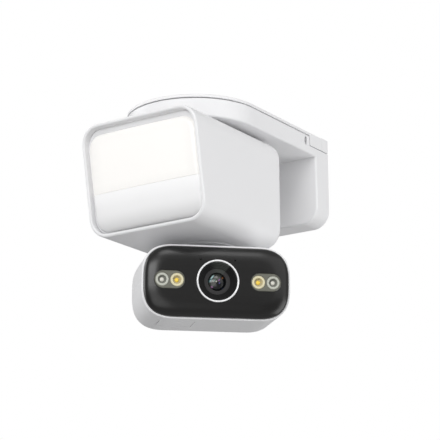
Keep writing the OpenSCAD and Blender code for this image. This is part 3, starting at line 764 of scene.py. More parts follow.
class Solid:
    """A closed shape in a local frame, in millimetres."""

    def __init__(self, mesh: bpy.types.Mesh) -> None:
        """Keeps a closed mesh."""
        self.mesh = mesh

    @classmethod
    def loft(cls, rings: Sequence[Ring], loop: bool = False) -> "Solid":
        """Skins rings of equal length.

        Args:
            rings: The rings in order.
            loop: True where the last ring joins the first, with no end faces.

        Returns:
            The solid.
        """
        bm = bmesh.new()
        rows = [[bm.verts.new(point) for point in ring] for ring in rings]
        pairs = list(zip(rows, rows[1:])) + ([(rows[-1], rows[0])] if loop else [])
        for near, far in pairs:
            for i in range(len(near)):
                j = (i + 1) % len(near)
                bm.faces.new((near[i], near[j], far[j], far[i]))
        if not loop:
            bm.faces.new(rows[0][::-1])
            bm.faces.new(rows[-1])
        bmesh.ops.remove_doubles(bm, verts=bm.verts, dist=1e-4)
        bmesh.ops.dissolve_degenerate(bm, edges=bm.edges, dist=1e-5)
        bmesh.ops.recalc_face_normals(bm, faces=bm.faces)
        mesh = bpy.data.meshes.new("solid")
        bm.to_mesh(mesh)
        bm.free()
        return cls(mesh)

    @classmethod
    def prism(cls, outline: Flat, start: float, end: float, axis: Axis = Axis.Y) -> "Solid":
        """Draws an outline out along an axis."""
        return cls.loft([[axis.lift(a, b, at) for a, b in outline] for at in (start, end)])

    @classmethod
    def block(cls, low: Sequence[float], high: Sequence[float]) -> "Solid":
        """A plain block between two corners, for cutting and joining."""
        corners = [(low[0], low[1]), (high[0], low[1]), (high[0], high[1]), (low[0], high[1])]
        return cls.prism(corners, low[2], high[2], Axis.Z)

    @classmethod
    def pillow(cls, size: tuple[float, float], corner: float, stations: Stations, power: float = 2.0,
               steps: int = 14, axis: Axis = Axis.Y, least: float = 0.5) -> "Solid":
        """Skins a rounded rectangle that is inset by different amounts along an axis.

        Args:
            size: Full width and height at no inset.
            corner: Corner radius at no inset.
            stations: Pairs of position and inset.
            power: Squareness of the corners.
            steps: Steps in each corner.
            axis: The axis.
            least: Smallest corner radius.

        Returns:
            The solid.
        """
        rings = []
        for at, inset in stations:
            outline = rounded(size[0] - 2 * inset, size[1] - 2 * inset, max(corner - inset, least),
                              power, steps)
            rings.append([axis.lift(a, b, at) for a, b in outline])
        return cls.loft(rings)

    @classmethod
    def lathe(cls, profile: Flat, steps: int = 96, axis: Axis = Axis.Y) -> "Solid":
        """Turns a closed profile round an axis.

        Args:
            profile: Pairs of radius and position along the axis.
            steps: Steps round the axis.
            axis: The axis.

        Returns:
            The solid; a profile that starts and ends on the axis has its poles closed.
        """
        turns = [(math.cos(k * 2 * math.pi / steps), math.sin(k * 2 * math.pi / steps)) for k in range(steps)]
        open_ends = profile[0][0] == 0 and profile[-1][0] == 0
        rows = [p for p in profile if p[0] > 0] if open_ends else list(profile)
        rings = [[axis.lift(r * c, r * s, at) for c, s in turns] for r, at in rows]
        return cls.loft(rings, loop=not open_ends)

    @classmethod
    def rod(cls, radius: float, start: float, end: float, axis: Axis = Axis.Y,
            centre: Sequence[float] = (0, 0, 0),
            steps: int = 64) -> "Solid":
        """A cylinder along an axis, moved by a centre."""
        turned = cls.lathe([(0, start), (radius, start), (radius, end), (0, end)], steps, axis)
        return turned.at(*centre)

    def moved(self, matrix: Matrix) -> "Solid":
        """A moved copy of the solid."""
        mesh = self.mesh.copy()
        mesh.transform(matrix)
        if matrix.determinant() < 0:
            mesh.flip_normals()
        return Solid(mesh)

    def at(self, x: float, y: float, z: float) -> "Solid":
        """A copy of the solid, moved by three distances."""
        return self.moved(Matrix.Translation((x, y, z)))

    def _with(self, other: "Solid", operation: str) -> "Solid":
        """Combines two solids with a Boolean modifier and returns the plain result."""
        base, tool = (bpy.data.objects.new("tool", part.mesh) for part in (self, other))
        for obj in (base, tool):
            bpy.context.scene.collection.objects.link(obj)
        modifier = base.modifiers.new("combine", "BOOLEAN")
        modifier.object = tool
        modifier.operation = operation
        modifier.solver = "MANIFOLD"
        made = bpy.data.meshes.new_from_object(base.evaluated_get(bpy.context.evaluated_depsgraph_get()))
        for obj in (base, tool):
            bpy.data.objects.remove(obj)
        return Solid(made)

    def joined(self, *others: "Solid") -> "Solid":
        """The solid with others added."""
        made = self
        for other in others:
            made = made._with(other, "UNION")
        return made

    def cut(self, *others: "Solid") -> "Solid":
        """The solid with others taken away."""
        made = self
        for other in others:
            made = made._with(other, "DIFFERENCE")
        return made

    def common(self, other: "Solid") -> "Solid":
        """What two solids share."""
        return self._with(other, "INTERSECT")


def plain(obj: bpy.types.Object) -> bpy.types.Mesh:
    """The object's evaluated mesh; its modifiers are then taken off."""
    bpy.context.view_layer.update()
    mesh = bpy.data.meshes.new_from_object(obj.evaluated_get(bpy.context.evaluated_depsgraph_get()))
    obj.modifiers.clear()
    return mesh


def settle(obj: bpy.types.Object, body: str, slot: str, node: str, sharp: float,
           finish: Finish | None = None) -> None:
    """Shades a finished piece, gives it its finish, parents it to its body and hides the CAD node it stands for.

    Args:
        obj: The piece, in place in its mesh.
        body: The body it rides on.
        slot: The record's material slot.
        node: The CAD node it stands for.
        sharp: Edges sharper than this many degrees stay crisp.
        finish: Its finish, if it isn't the slot's own.
    """
    obj.data.shade_smooth()
    obj.data.set_sharp_from_angle(angle=math.radians(sharp))
    modifier = obj.modifiers.new("normals", "WEIGHTED_NORMAL")
    modifier.keep_sharp = True
    obj.data = plain(obj)
    obj.data.materials.clear()
    obj.data.materials.append((finish or FINISHES[slot]).material())
    obj.data.name = obj.name
    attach(obj, body)
    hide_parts(node)
    LOG.info("%s: %d faces on %s", obj.name, len(obj.data.polygons), body)


def piece(name: str, solid: Solid, place: Matrix, body: str, slot: str, node: str, edge: float = 0.0) -> None:
    """Makes a solid into a finished piece.

    Args:
        name: The piece's name.
        solid: Its shape, in local millimetres.
        place: The local frame's matrix, in metres.
        body: The body it rides on.
        slot: The record's material slot.
        node: The CAD node it stands for.
        edge: Width of the small round on its sharp edges, in millimetres.
    """
    mesh = solid.mesh.copy()
    mesh.transform(place @ Matrix.Scale(MM, 4))
    obj = bpy.data.objects.new(name, mesh)
    bpy.context.scene.collection.objects.link(obj)
    if edge:
        bevel = obj.modifiers.new("edge", "BEVEL")
        bevel.width = edge * MM
        bevel.segments = 2
        bevel.limit_method = "ANGLE"
        bevel.angle_limit = math.radians(38)
        bevel.use_clamp_overlap = True
        obj.data = plain(obj)
    settle(obj, body, slot, node, CRISP)


# ---------- repeated shapes ----------


class ShapeTree:
    """A Geometry Nodes tree with named inputs, run once and made into a plain mesh."""

    def __init__(self, name: str, sizes: dict[str, float]) -> None:
        """Starts a tree.

        Args:
            name: The tree's name.
            sizes: Its named number inputs, with their values.
        """
        self.tree = bpy.data.node_groups.new(name, "GeometryNodeTree")
        face = self.tree.interface
        face.new_socket("Geometry", in_out="INPUT", socket_type="NodeSocketGeometry")
        face.new_socket("Geometry", in_out="OUTPUT", socket_type="NodeSocketGeometry")
        self.values: dict[str, Any] = {}
        self.add_inputs(sizes, "NodeSocketFloat")
        self.inlet = self.tree.nodes.new("NodeGroupInput")

    def add_inputs(self, values: dict[str, Any], kind: str) -> None:
        """Adds named inputs of one kind, with the values that the modifier will set."""
        for name, value in values.items():
            item = self.tree.interface.new_socket(name, in_out="INPUT", socket_type=kind)
            self.values[item.identifier] = value

    def given(self, name: str) -> Socket:
        """The tree's own input of that name."""
        return self.inlet.outputs[name]

    def node(self, kind: str, settings: dict | None = None, inputs: dict | None = None) -> bpy.types.Node:
        """Adds any node.

        Args:
            kind: The node's type.
            settings: Its properties, set first.
            inputs: Values or sockets by input name or number.

        Returns:
            The node.
        """
        made = self.tree.nodes.new(kind)
        for key, value in (settings or {}).items():
            setattr(made, key, value)
        for key, value in (inputs or {}).items():
            if isinstance(value, Socket):
                self.tree.links.new(value, made.inputs[key])
            else:
                made.inputs[key].default_value = value
        return made

    def sum(self, operation: str, first: Any, second: Any = 0.0) -> Socket:
        """Adds one Math node and returns its result."""
        return self.node("ShaderNodeMath", {"operation": operation}, {0: first, 1: second}).outputs[0]

    def times(self, first: Any, second: Any) -> Socket:
        """The product of two numbers."""
        return self.sum("MULTIPLY", first, second)

    def cube(self, x: Any, y: Any, z: Any) -> Socket:
        """A block about the origin."""
        return self.node("GeometryNodeMeshCube", {}, {"Size": self.vector(x, y, z)}).outputs[0]

    def copies(self, points: Socket, shape: Socket, **more: Any) -> Socket:
        """The shape set at every point."""
        inputs = {"Points": points, "Instance": shape, **more}
        return self.node("GeometryNodeInstanceOnPoints", {}, inputs).outputs[0]

    def seats(self) -> Socket:
        """The points of the object that the tree starts from."""
        return self.node("GeometryNodeMeshToPoints", {}, {0: self.given("Geometry")}).outputs[0]

    def vector(self, x: Any = 0.0, y: Any = 0.0, z: Any = 0.0) -> Socket:
        """Builds a vector from three numbers."""
        return self.node("ShaderNodeCombineXYZ", {}, {0: x, 1: y, 2: z}).outputs[0]

    def moved(self, shape: Socket, by: Any, scale: Any = (1, 1, 1)) -> Socket:
        """Moves and scales a shape."""
        inputs = {"Geometry": shape, "Translation": by, "Scale": scale}
        return self.node("GeometryNodeTransform", {}, inputs).outputs[0]

    def join(self, *shapes: Socket) -> Socket:
        """Joins shapes."""
        made = self.tree.nodes.new("GeometryNodeJoinGeometry")
        for shape in reversed(shapes):
            self.tree.links.new(shape, made.inputs[0])
        return made.outputs[0]

    def run(self, name: str, shape: Socket, finish: Finish,
            points: Sequence[Sequence[float]] = ((0, 0, 0),)) -> bpy.types.Object:
        """Ends the tree and makes its result a plain object.

        Args:
            name: The object's name.
            shape: The shape to give out.
            finish: The finish whose material is set.
            points: Points of the object that the tree starts from, in metres.

        Returns:
            The object, with no modifier left.
        """
        real = self.node("GeometryNodeRealizeInstances", {}, {0: shape}).outputs[0]
        last = self.node("GeometryNodeSetMaterial", {}, {"Geometry": real, "Material": finish.material()})
        outlet = self.tree.nodes.new("NodeGroupOutput")
        self.tree.links.new(last.outputs[0], outlet.inputs[0])
        mesh = bpy.data.meshes.new(name)
        mesh.from_pydata([tuple(point) for point in points], [], [])
        obj = bpy.data.objects.new(name, mesh)
        bpy.context.scene.collection.objects.link(obj)
        modifier = obj.modifiers.new("shape", "NODES")
        modifier.node_group = self.tree
        for identifier, value in self.values.items():
            modifier[identifier] = value
        obj.data = plain(obj)
        return obj


@dataclass(frozen=True)
class Screw:
    """Round-headed cross-recess screw, in millimetres."""

    head: float
    height: float
    shank: float
    length: float

    def place(self, name: str, points: Sequence[Vector], turn: Euler, body: str,
              slot: str = "screw_steel") -> None:
        """Sets copies of the screw at points and makes them one finished piece.

        Args:
            name: The CAD node's name, from which the piece's name is built.
            points: Undersides of the heads, in metres.
            turn: Turn from straight up to the screw's direction.
            body: The body that they ride on.
            slot: The record's material slot.
        """
        tree = ShapeTree(name + "_shape", {
            "Head Radius": self.head * MM,
            "Head Height": self.height * MM,
            "Shank Radius": self.shank * MM,
            "Shank Length": self.length * MM,
            "Recess Width": self.head * 0.24 * MM,
            "Thread Pitch": 0.8 * MM,
        })
        tree.add_inputs({"Turn": tuple(turn)}, "NodeSocketVector")
        turned = tree.node("FunctionNodeEulerToRotation", {}, {0: tree.given("Turn")}).outputs[0]
        both = tree.join(self.head_shape(tree), self.shank_shape(tree))
        obj = tree.run(name + "_set", tree.copies(tree.seats(), both, Rotation=turned), FINISHES[slot], points)
        settle(obj, body, slot, name, 40)

    def head_shape(self, tree: ShapeTree) -> Socket:
        """A drum, domed above its middle, with a cross cut into it."""
        radius, height = tree.given("Head Radius"), tree.given("Head Height")
        where = tree.node("GeometryNodeInputPosition").outputs[0]
        x, y, z = tree.node("ShaderNodeSeparateXYZ", {}, {0: where}).outputs
        out = tree.sum("SQRT", tree.sum("ADD", tree.times(x, x), tree.times(y, y)))
        drum = tree.node("GeometryNodeMeshCylinder", {}, {
            "Vertices": 28, "Side Segments": 3, "Fill Segments": 5, "Radius": radius,
            "Depth": height}).outputs[0]
        sink = tree.times(tree.sum("POWER", tree.sum("DIVIDE", out, radius), 3.0), tree.times(height, -0.42))
        upper = tree.sum("GREATER_THAN", z, tree.times(height, 0.3))
        domed = tree.node("GeometryNodeSetPosition", {}, {
            "Geometry": drum, "Selection": upper, "Offset": tree.vector(0.0, 0.0, sink)}).outputs[0]
        cap = tree.moved(domed, tree.vector(0.0, 0.0, tree.times(height, 0.5)))
        wide, thin, lift = tree.times(radius, 1.2), tree.given("Recess Width"), tree.times(height, 0.97)
        cross = [tree.moved(tree.cube(*size, height), tree.vector(0.0, 0.0, lift))
                 for size in ((wide, thin), (thin, wide))]
        return tree.node("GeometryNodeMeshBoolean", {"operation": "DIFFERENCE", "solver": "EXACT"},
                         {0: cap, 1: tree.join(*cross)}).outputs[0]

    def shank_shape(self, tree: ShapeTree) -> Socket:
        """A rod whose radius swells and shrinks along it as a thread does."""
        length = tree.given("Shank Length")
        where = tree.node("GeometryNodeInputPosition").outputs[0]
        z = tree.node("ShaderNodeSeparateXYZ", {}, {0: where}).outputs[2]
        rod = tree.node("GeometryNodeMeshCylinder", {}, {
            "Vertices": 20, "Side Segments": 28, "Radius": tree.given("Shank Radius"),
            "Depth": length}).outputs[0]
        phase = tree.sum("DIVIDE", tree.times(z, 2 * math.pi), tree.given("Thread Pitch"))
        swell = tree.times(tree.sum("SUBTRACT", tree.sum("SINE", phase), 1.0), 0.07)
        bulge = tree.node("ShaderNodeVectorMath", {"operation": "MULTIPLY"},
                          {0: where, 1: tree.vector(swell, swell, 0.0)}).outputs[0]
        threaded = tree.node("GeometryNodeSetPosition", {}, {"Geometry": rod, "Offset": bulge}).outputs[0]
        return tree.moved(threaded, tree.vector(0.0, 0.0, tree.times(length, -0.5)))


# ---------- frames and finishes in use ----------


LAMP_GAP = 2.3
LAMP_HEIGHT = 79.4


def joint(name: str) -> dict:
    """The record's joint of that name."""
    return next(item for item in frame["joints"] if item["name"] == name)


def rows(matrix: Matrix) -> tuple[tuple[float, ...], ...]:
    """A matrix as nested tuples, for a frozen finish."""
    return tuple(tuple(row) for row in matrix)


@dataclass(frozen=True)
class Layout:
    """Local frames of the sub-assemblies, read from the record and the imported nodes."""

    rake: float = math.radians(10.4915)

    @property
    def head(self) -> Matrix:
        """Head frame: the tilt axis is x, and the face looks along -y."""
        tilt = joint("tilt")
        turn = math.atan2(tilt["axis"][1], tilt["axis"][0])
        lean = -math.radians(tilt["range_deg"][0])
        return Matrix.Translation(tilt["pos_m"]) @ Matrix.Rotation(turn, 4, "Z") @ Matrix.Rotation(lean, 4, "X")

    @property
    def neck(self) -> Matrix:
        """Neck frame: z runs up the pan axis, and x lies along the tilt axis."""
        tilt = joint("tilt")
        turn = math.atan2(tilt["axis"][1], tilt["axis"][0])
        return Matrix.Translation((0, tilt["pos_m"][1], 0)) @ Matrix.Rotation(turn, 4, "Z")

    @property
    def front(self) -> Matrix:
        """Frame of the box's raked front: +y goes into the box, and z runs up the rim's plane."""
        low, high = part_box("lamp_housing")
        middle = (low.z + high.z) / 2
        half = (joint("lamp_swivel")["pos_m"][2] - LAMP_GAP * MM - middle)
        reach = low.y + half * math.tan(self.rake)
        return Matrix.Translation((0, reach, middle_of_lamp())) @ Matrix.Rotation(self.rake, 4, "X")


def lamp_top() -> float:
    """Height of the floodlight box's top, in millimetres."""
    return joint("lamp_swivel")["pos_m"][2] / MM - LAMP_GAP


def middle_of_lamp() -> float:
    """Height of the floodlight box's middle, in metres."""
    return (lamp_top() - LAMP_HEIGHT / 2) * MM


WORLD = Matrix.Identity(4)
LAYOUT = Layout()
HEAD, NECK, FRONT = rows(LAYOUT.head), rows(LAYOUT.neck), rows(LAYOUT.front)

WHITE = (0.80, 0.80, 0.81)
SHELL = MouldedPlastic("white_shell_satin", WHITE, 0.42)
PLATE = MouldedPlastic("white_plate_satin", tone(WHITE, 1.01), 0.44)

FINISHES: dict[str, Finish] = {
    "white_shell": SHELL,
    "white_plate": PLATE,
    "screw_steel": Metal("plated_screw_steel", (0.62, 0.62, 0.64), 0.3),
    "dark_screw": Metal("blackened_screw_steel", (0.3, 0.3, 0.31), 0.38),
    "bearing_plastic": MouldedPlastic("bearing_acetal", (0.13, 0.13, 0.14), 0.4, 2000),
    "friction_pad": Rubber("friction_pad_fibre", (0.03, 0.03, 0.032), 0.75),
    "spring_steel": Metal("rolled_spring_steel", (0.5, 0.5, 0.53), 0.28, Working.ROLLED),
    "machined_metal": Metal("turned_metal", (0.66, 0.66, 0.68), 0.25, Working.TURNED),
    "seal_rubber": Rubber("seal_rubber_black", (0.02, 0.02, 0.02), 0.7),
    "frame_plastic": MouldedPlastic("lens_frame_plastic", (0.74, 0.74, 0.75), 0.5),
    "warm_diffuser": GlowPanel("lit_diffuser", (0.66, 0.65, 0.635), 0.3, place=FRONT),
    "opal_window": OpalGloss("opal_sensor_window", (0.9, 0.9, 0.905), 0.16, place=FRONT),
    "reflector_white": GlossPlastic("reflector_gloss_white", (0.86, 0.86, 0.85), 0.2),
    "led_phosphor": LedChip("warm_phosphor", (0.76, 0.54, 0.07), 0.35, 0.22),
    "led_clear": LedChip("clear_led_resin", (0.62, 0.61, 0.55), 0.3, 0.15),
    "light_board": CircuitBoard("white_lamp_board", (0.78, 0.78, 0.76), 0.4),
    "circuit_board": CircuitBoard("green_circuit_board", (0.012, 0.09, 0.035), 0.35),
    "cell_wrap": CellSleeve("cell_shrink_sleeve", (0.05, 0.14, 0.3), 0.3),
    "sensor_can": Metal("pressed_sensor_can", (0.6, 0.6, 0.6), 0.3, Working.ROLLED),
    "antenna_copper": Metal("antenna_copper_strip", (0.72, 0.4, 0.22), 0.3, Working.ROLLED),
    "socket_metal": Metal("drawn_socket_steel", (0.58, 0.58, 0.6), 0.3, Working.ROLLED),
    "cover_rubber": Rubber("port_cover_rubber", (0.66, 0.66, 0.66), 0.62),
    "button_plastic": MouldedPlastic("button_plastic_grey", (0.6, 0.6, 0.61), 0.4),
    "gear_plastic": MouldedPlastic("gear_acetal", (0.76, 0.74, 0.68), 0.36, 1800),
    "gear_brass": Metal("hobbed_brass", (0.74, 0.55, 0.25), 0.28, Working.TURNED),
    "cable_jacket": Rubber("cable_jacket_black", (0.025, 0.025, 0.027), 0.55),
    "motor_can": Metal("drawn_motor_can", (0.55, 0.55, 0.57), 0.32, Working.ROLLED),
    "face_gloss": GlossPlastic("face_black_gloss", (0.0045, 0.0042, 0.004), 0.3, 0.04),
    "bright_ring": GlossPlastic("lens_ring_bright", (0.88, 0.88, 0.89), 0.14, 0.5),
    "barrel_black": RingedBlack("lens_barrel_black", (0.004, 0.004, 0.004), 0.5, place=HEAD),
    "lens_glass": CoatedGlass("coated_lens_glass", (0.004, 0.005, 0.006), 0.2, place=HEAD),
    "window_grey": SmokedWindow("smoked_led_window", (0.15, 0.15, 0.125), 0.12, place=HEAD),
    "reflector_cream": LampDish("led_dish_cream", (0.5, 0.51, 0.45), 0.35, place=HEAD),
    "speaker_black": MouldedPlastic("speaker_frame_black", (0.03, 0.03, 0.032), 0.5, 2000),
}


def dress_nodes() -> None:
    """Gives every carried-over CAD node the finish of its material slot."""
    for part in frame["record"]["subparts"]:
        obj = frame["nodes"][part["node"]]
        material = FINISHES[part["material_slot"]].material()
        obj.data.materials.clear()
        obj.data.materials.append(material)
        LOG.info("%s: carried over in %s", part["node"], material.name)


# ---------- bracket ----------


@dataclass
class Bracket:
    """Wall post and arm, with the plate that closes the arm."""

    width: float = 99.0
    pivot: float = 104.2
    top: float = 33.8
    bottom: float = 17.2
    cap: float = 2.3
    seam: float = 0.8
    wall: float = 2.5
    post: float = 17.3
    foot: float = -33.8
    corner: float = 13.0
    block_height: float = 9.9
    block_depth: float = 26.0
    plate_depth: float = 9.0
    fillet: float = 1.5
    lock: tuple[float, float] = (-31.0, 26.3)
    cap_screws: tuple[tuple[float, float], ...] = ((-41, -62), (41, -62), (-28, -136), (28, -136))
    eave_holes: tuple[tuple[float, float], ...] = ((-32, -48), (32, -48), (0, -134))
    wall_holes: tuple[tuple[float, float], ...] = ((32, 14), (-32, 14), (-32, -26), (32, -26))

    def arm_outline(self, inset: float, back: float, steps: int = 56) -> Flat:
        """Plan of the arm: a half-round end and straight sides.

        Args:
            inset: How far in from the full outline.
            back: Where the sides end, as a distance from the wall.
            steps: Steps round the end.

        Returns:
            The outline.
        """
        reach = self.width / 2 - inset
        turns = [math.pi + math.pi * k / steps for k in range(steps + 1)]
        end = [(reach * math.cos(a), -self.pivot + reach * math.sin(a)) for a in turns]
        return [(-reach, -back), *end, (reach, -back)]

    def arm_loft(self, stations: Stations, back: float) -> Solid:
        """Skins the arm's plan through heights and insets."""
        return Solid.loft([[Vector((x, y, at)) for x, y in self.arm_outline(inset, back)]
                           for at, inset in stations])

    def post_loft(self, stations: Stations, top: float, more: float = 0.0) -> Solid:
        """Skins the post's outline through depths and insets.

        Args:
            stations: Pairs of y and inset.
            top: Height that the post reaches.
            more: Inset that holds at every station, as for the hollow.

        Returns:
            The solid.
        """
        rings = []
        for at, inset in stations:
            half, foot = self.width / 2 - inset - more, self.foot + inset + more
            radius = self.corner - inset - more
            arc = [k / 12 * math.pi / 2 for k in range(13)]
            right = [(half - radius + radius * math.sin(a), foot + radius - radius * math.cos(a)) for a in arc]
            left = [(-x, z) for x, z in reversed(right)]
            rings.append([Vector((x, at, z)) for x, z in [*right, (half, top), (-half, top), *left]])
        return Solid.loft(rings)

    def shell(self) -> Solid:
        """The hollow shell of arm and post."""
        under = [(self.bottom + self.fillet - at, inset) for at, inset in roll(0, self.fillet, self.fillet, 5)]
        lid = self.top - self.cap - self.seam
        arm = self.arm_loft([*reversed(under), (lid - 0.3, 0), (lid, 0.3)], 0)
        front = [(-self.post + self.fillet - at, inset) for at, inset in roll(0, self.fillet, self.fillet, 5)]
        post = self.post_loft([*reversed(front), (0, 0)], self.bottom + 6)
        hollow_arm = self.arm_loft([(self.bottom + self.wall, self.wall), (self.top + 2, self.wall)], -1)
        hollow_post = self.post_loft([(-self.post + self.wall, 0), (1, 0)], self.top + 1, self.wall)
        step = Solid.block((-60, -self.block_depth - self.seam, self.top - self.block_height - self.seam),
                           (60, 2, self.top + 3))
        made = arm.joined(post).cut(hollow_arm, hollow_post, step)
        for x, y in self.cap_screws:
            made = made.joined(Solid.rod(3.2, self.bottom + 1, self.top - self.cap, Axis.Z, (x, y, 0), 32))
        for side in (-1, 1):
            rib = Solid.block((side * 24 - 1, -self.post + 1, self.foot + 1),
                              (side * 24 + 1, -3, self.bottom + 6))
            made = made.joined(rib)
        y, z = self.lock
        made = made.joined(Solid.block((43.8, y - 4, self.bottom + 1), (48, y + 4, self.top - self.cap - 1)))
        made = made.cut(Solid.rod(13, self.bottom - 1, self.bottom + 5, Axis.Z, (0, -self.pivot, 0)))
        for x, y_screw in self.cap_screws:
            made = made.cut(Solid.rod(1.25, self.bottom + 5, self.top, Axis.Z, (x, y_screw, 0), 24))
        edge = self.width / 2
        plans = [rounded(3.6 + 2 * more, 6.4 + 2 * more, 1.79 + more, 2, 10) for more in (0, 0, 0.5, 0.5)]
        dish = Solid.loft([[Axis.X.lift(a, b, at) for a, b in plan] for plan, at in
                           zip(plans, (edge - 5.0, edge - 0.5, edge + 0.02, edge + 1))])
        dish = dish.at(0, y, z)
        return made.cut(Solid.rod(1.6, 43, edge + 1, Axis.X, (0, y, z), 24), dish)

    def cover(self) -> Solid:
        """The top plate, with the side walls of the rear block and the lock's lug."""
        low = self.top - self.cap
        top = [(at, inset) for at, inset in roll(self.top - 0.9, self.top, 0.9, 5)]
        made = self.arm_loft([(low, 0.25), (low + 0.25, 0), *top], self.plate_depth + 0.1)
        half = self.width / 2
        for side in (-1, 1):
            x0, x1 = sorted((side * half, side * (half - self.wall)))
            made = made.joined(Solid.block((x0, -self.block_depth, self.top - self.block_height),
                                           (x1, -self.plate_depth - 0.1, low + 1)))
        y, z = self.lock
        made = made.joined(Solid.block((39, y - 5, z - 5), (43.8, y + 5, low + 1)))
        for x, y_hole in self.eave_holes:
            made = made.cut(Solid.rod(2.5, low - 2, self.top + 1, Axis.Z, (x, y_hole, 0)))
        for x, y_screw in self.cap_screws:
            sink = [(0, low - 2), (1.3, low - 2), (1.3, self.top - 1.3), (2.7, self.top - 1.3),
                    (2.7, self.top - 0.25), (3.0, self.top + 0.1), (3.0, self.top + 1), (0, self.top + 1)]
            made = made.cut(Solid.lathe(sink, 40, Axis.Z).at(x, y_screw, 0))
        return made.cut(Solid.rod(1.5, 38, 45, Axis.X, (0, y, z), 24))

    def back_plate(self) -> Solid:
        """The wall plate, with the part of the block that it closes."""
        low, half = self.top - self.cap, self.width / 2
        made = self.post_loft([(-3, 0), (0, 0)], low, self.wall + 0.2)
        made = made.joined(Solid.block((-half, -self.plate_depth, low), (half, 0, self.top)))
        for side in (-1, 1):
            x0, x1 = sorted((side * half, side * (half - self.wall)))
            made = made.joined(Solid.block((x0, -self.plate_depth, self.top - self.block_height),
                                           (x1, 0, low + 1)))
        for x, z in self.wall_holes:
            made = made.cut(Solid.rod(2.5, -4, 1, Axis.Y, (x, 0, z)))
        return made

    def build(self) -> None:
        """Makes the bracket's pieces."""
        piece("bracket_shell_moulding", self.shell(), WORLD, "bracket", "white_shell", "bracket_shell")
        piece("eave_plate_moulding", self.cover(), WORLD, "bracket", "white_plate", "eave_plate", 0.3)
        piece("wall_plate_moulding", self.back_plate(), WORLD, "bracket", "white_plate", "wall_plate", 0.4)
        seats = [Vector((x, y, self.top - 1.3)) * MM for x, y in self.cap_screws]
        Screw(2.6, 1.2, 1.2, 8).place("plate_screws", seats, Euler((0, 0, 0)), "bracket")
        y, z = self.lock
        seat = [Vector((self.width / 2 - 2, y, z)) * MM]
        Screw(1.6, 1.1, 1.5, 8).place("lock_screw", seat, Euler((0, math.pi / 2, 0)), "bracket", "dark_screw")


# ---------- floodlight box ----------


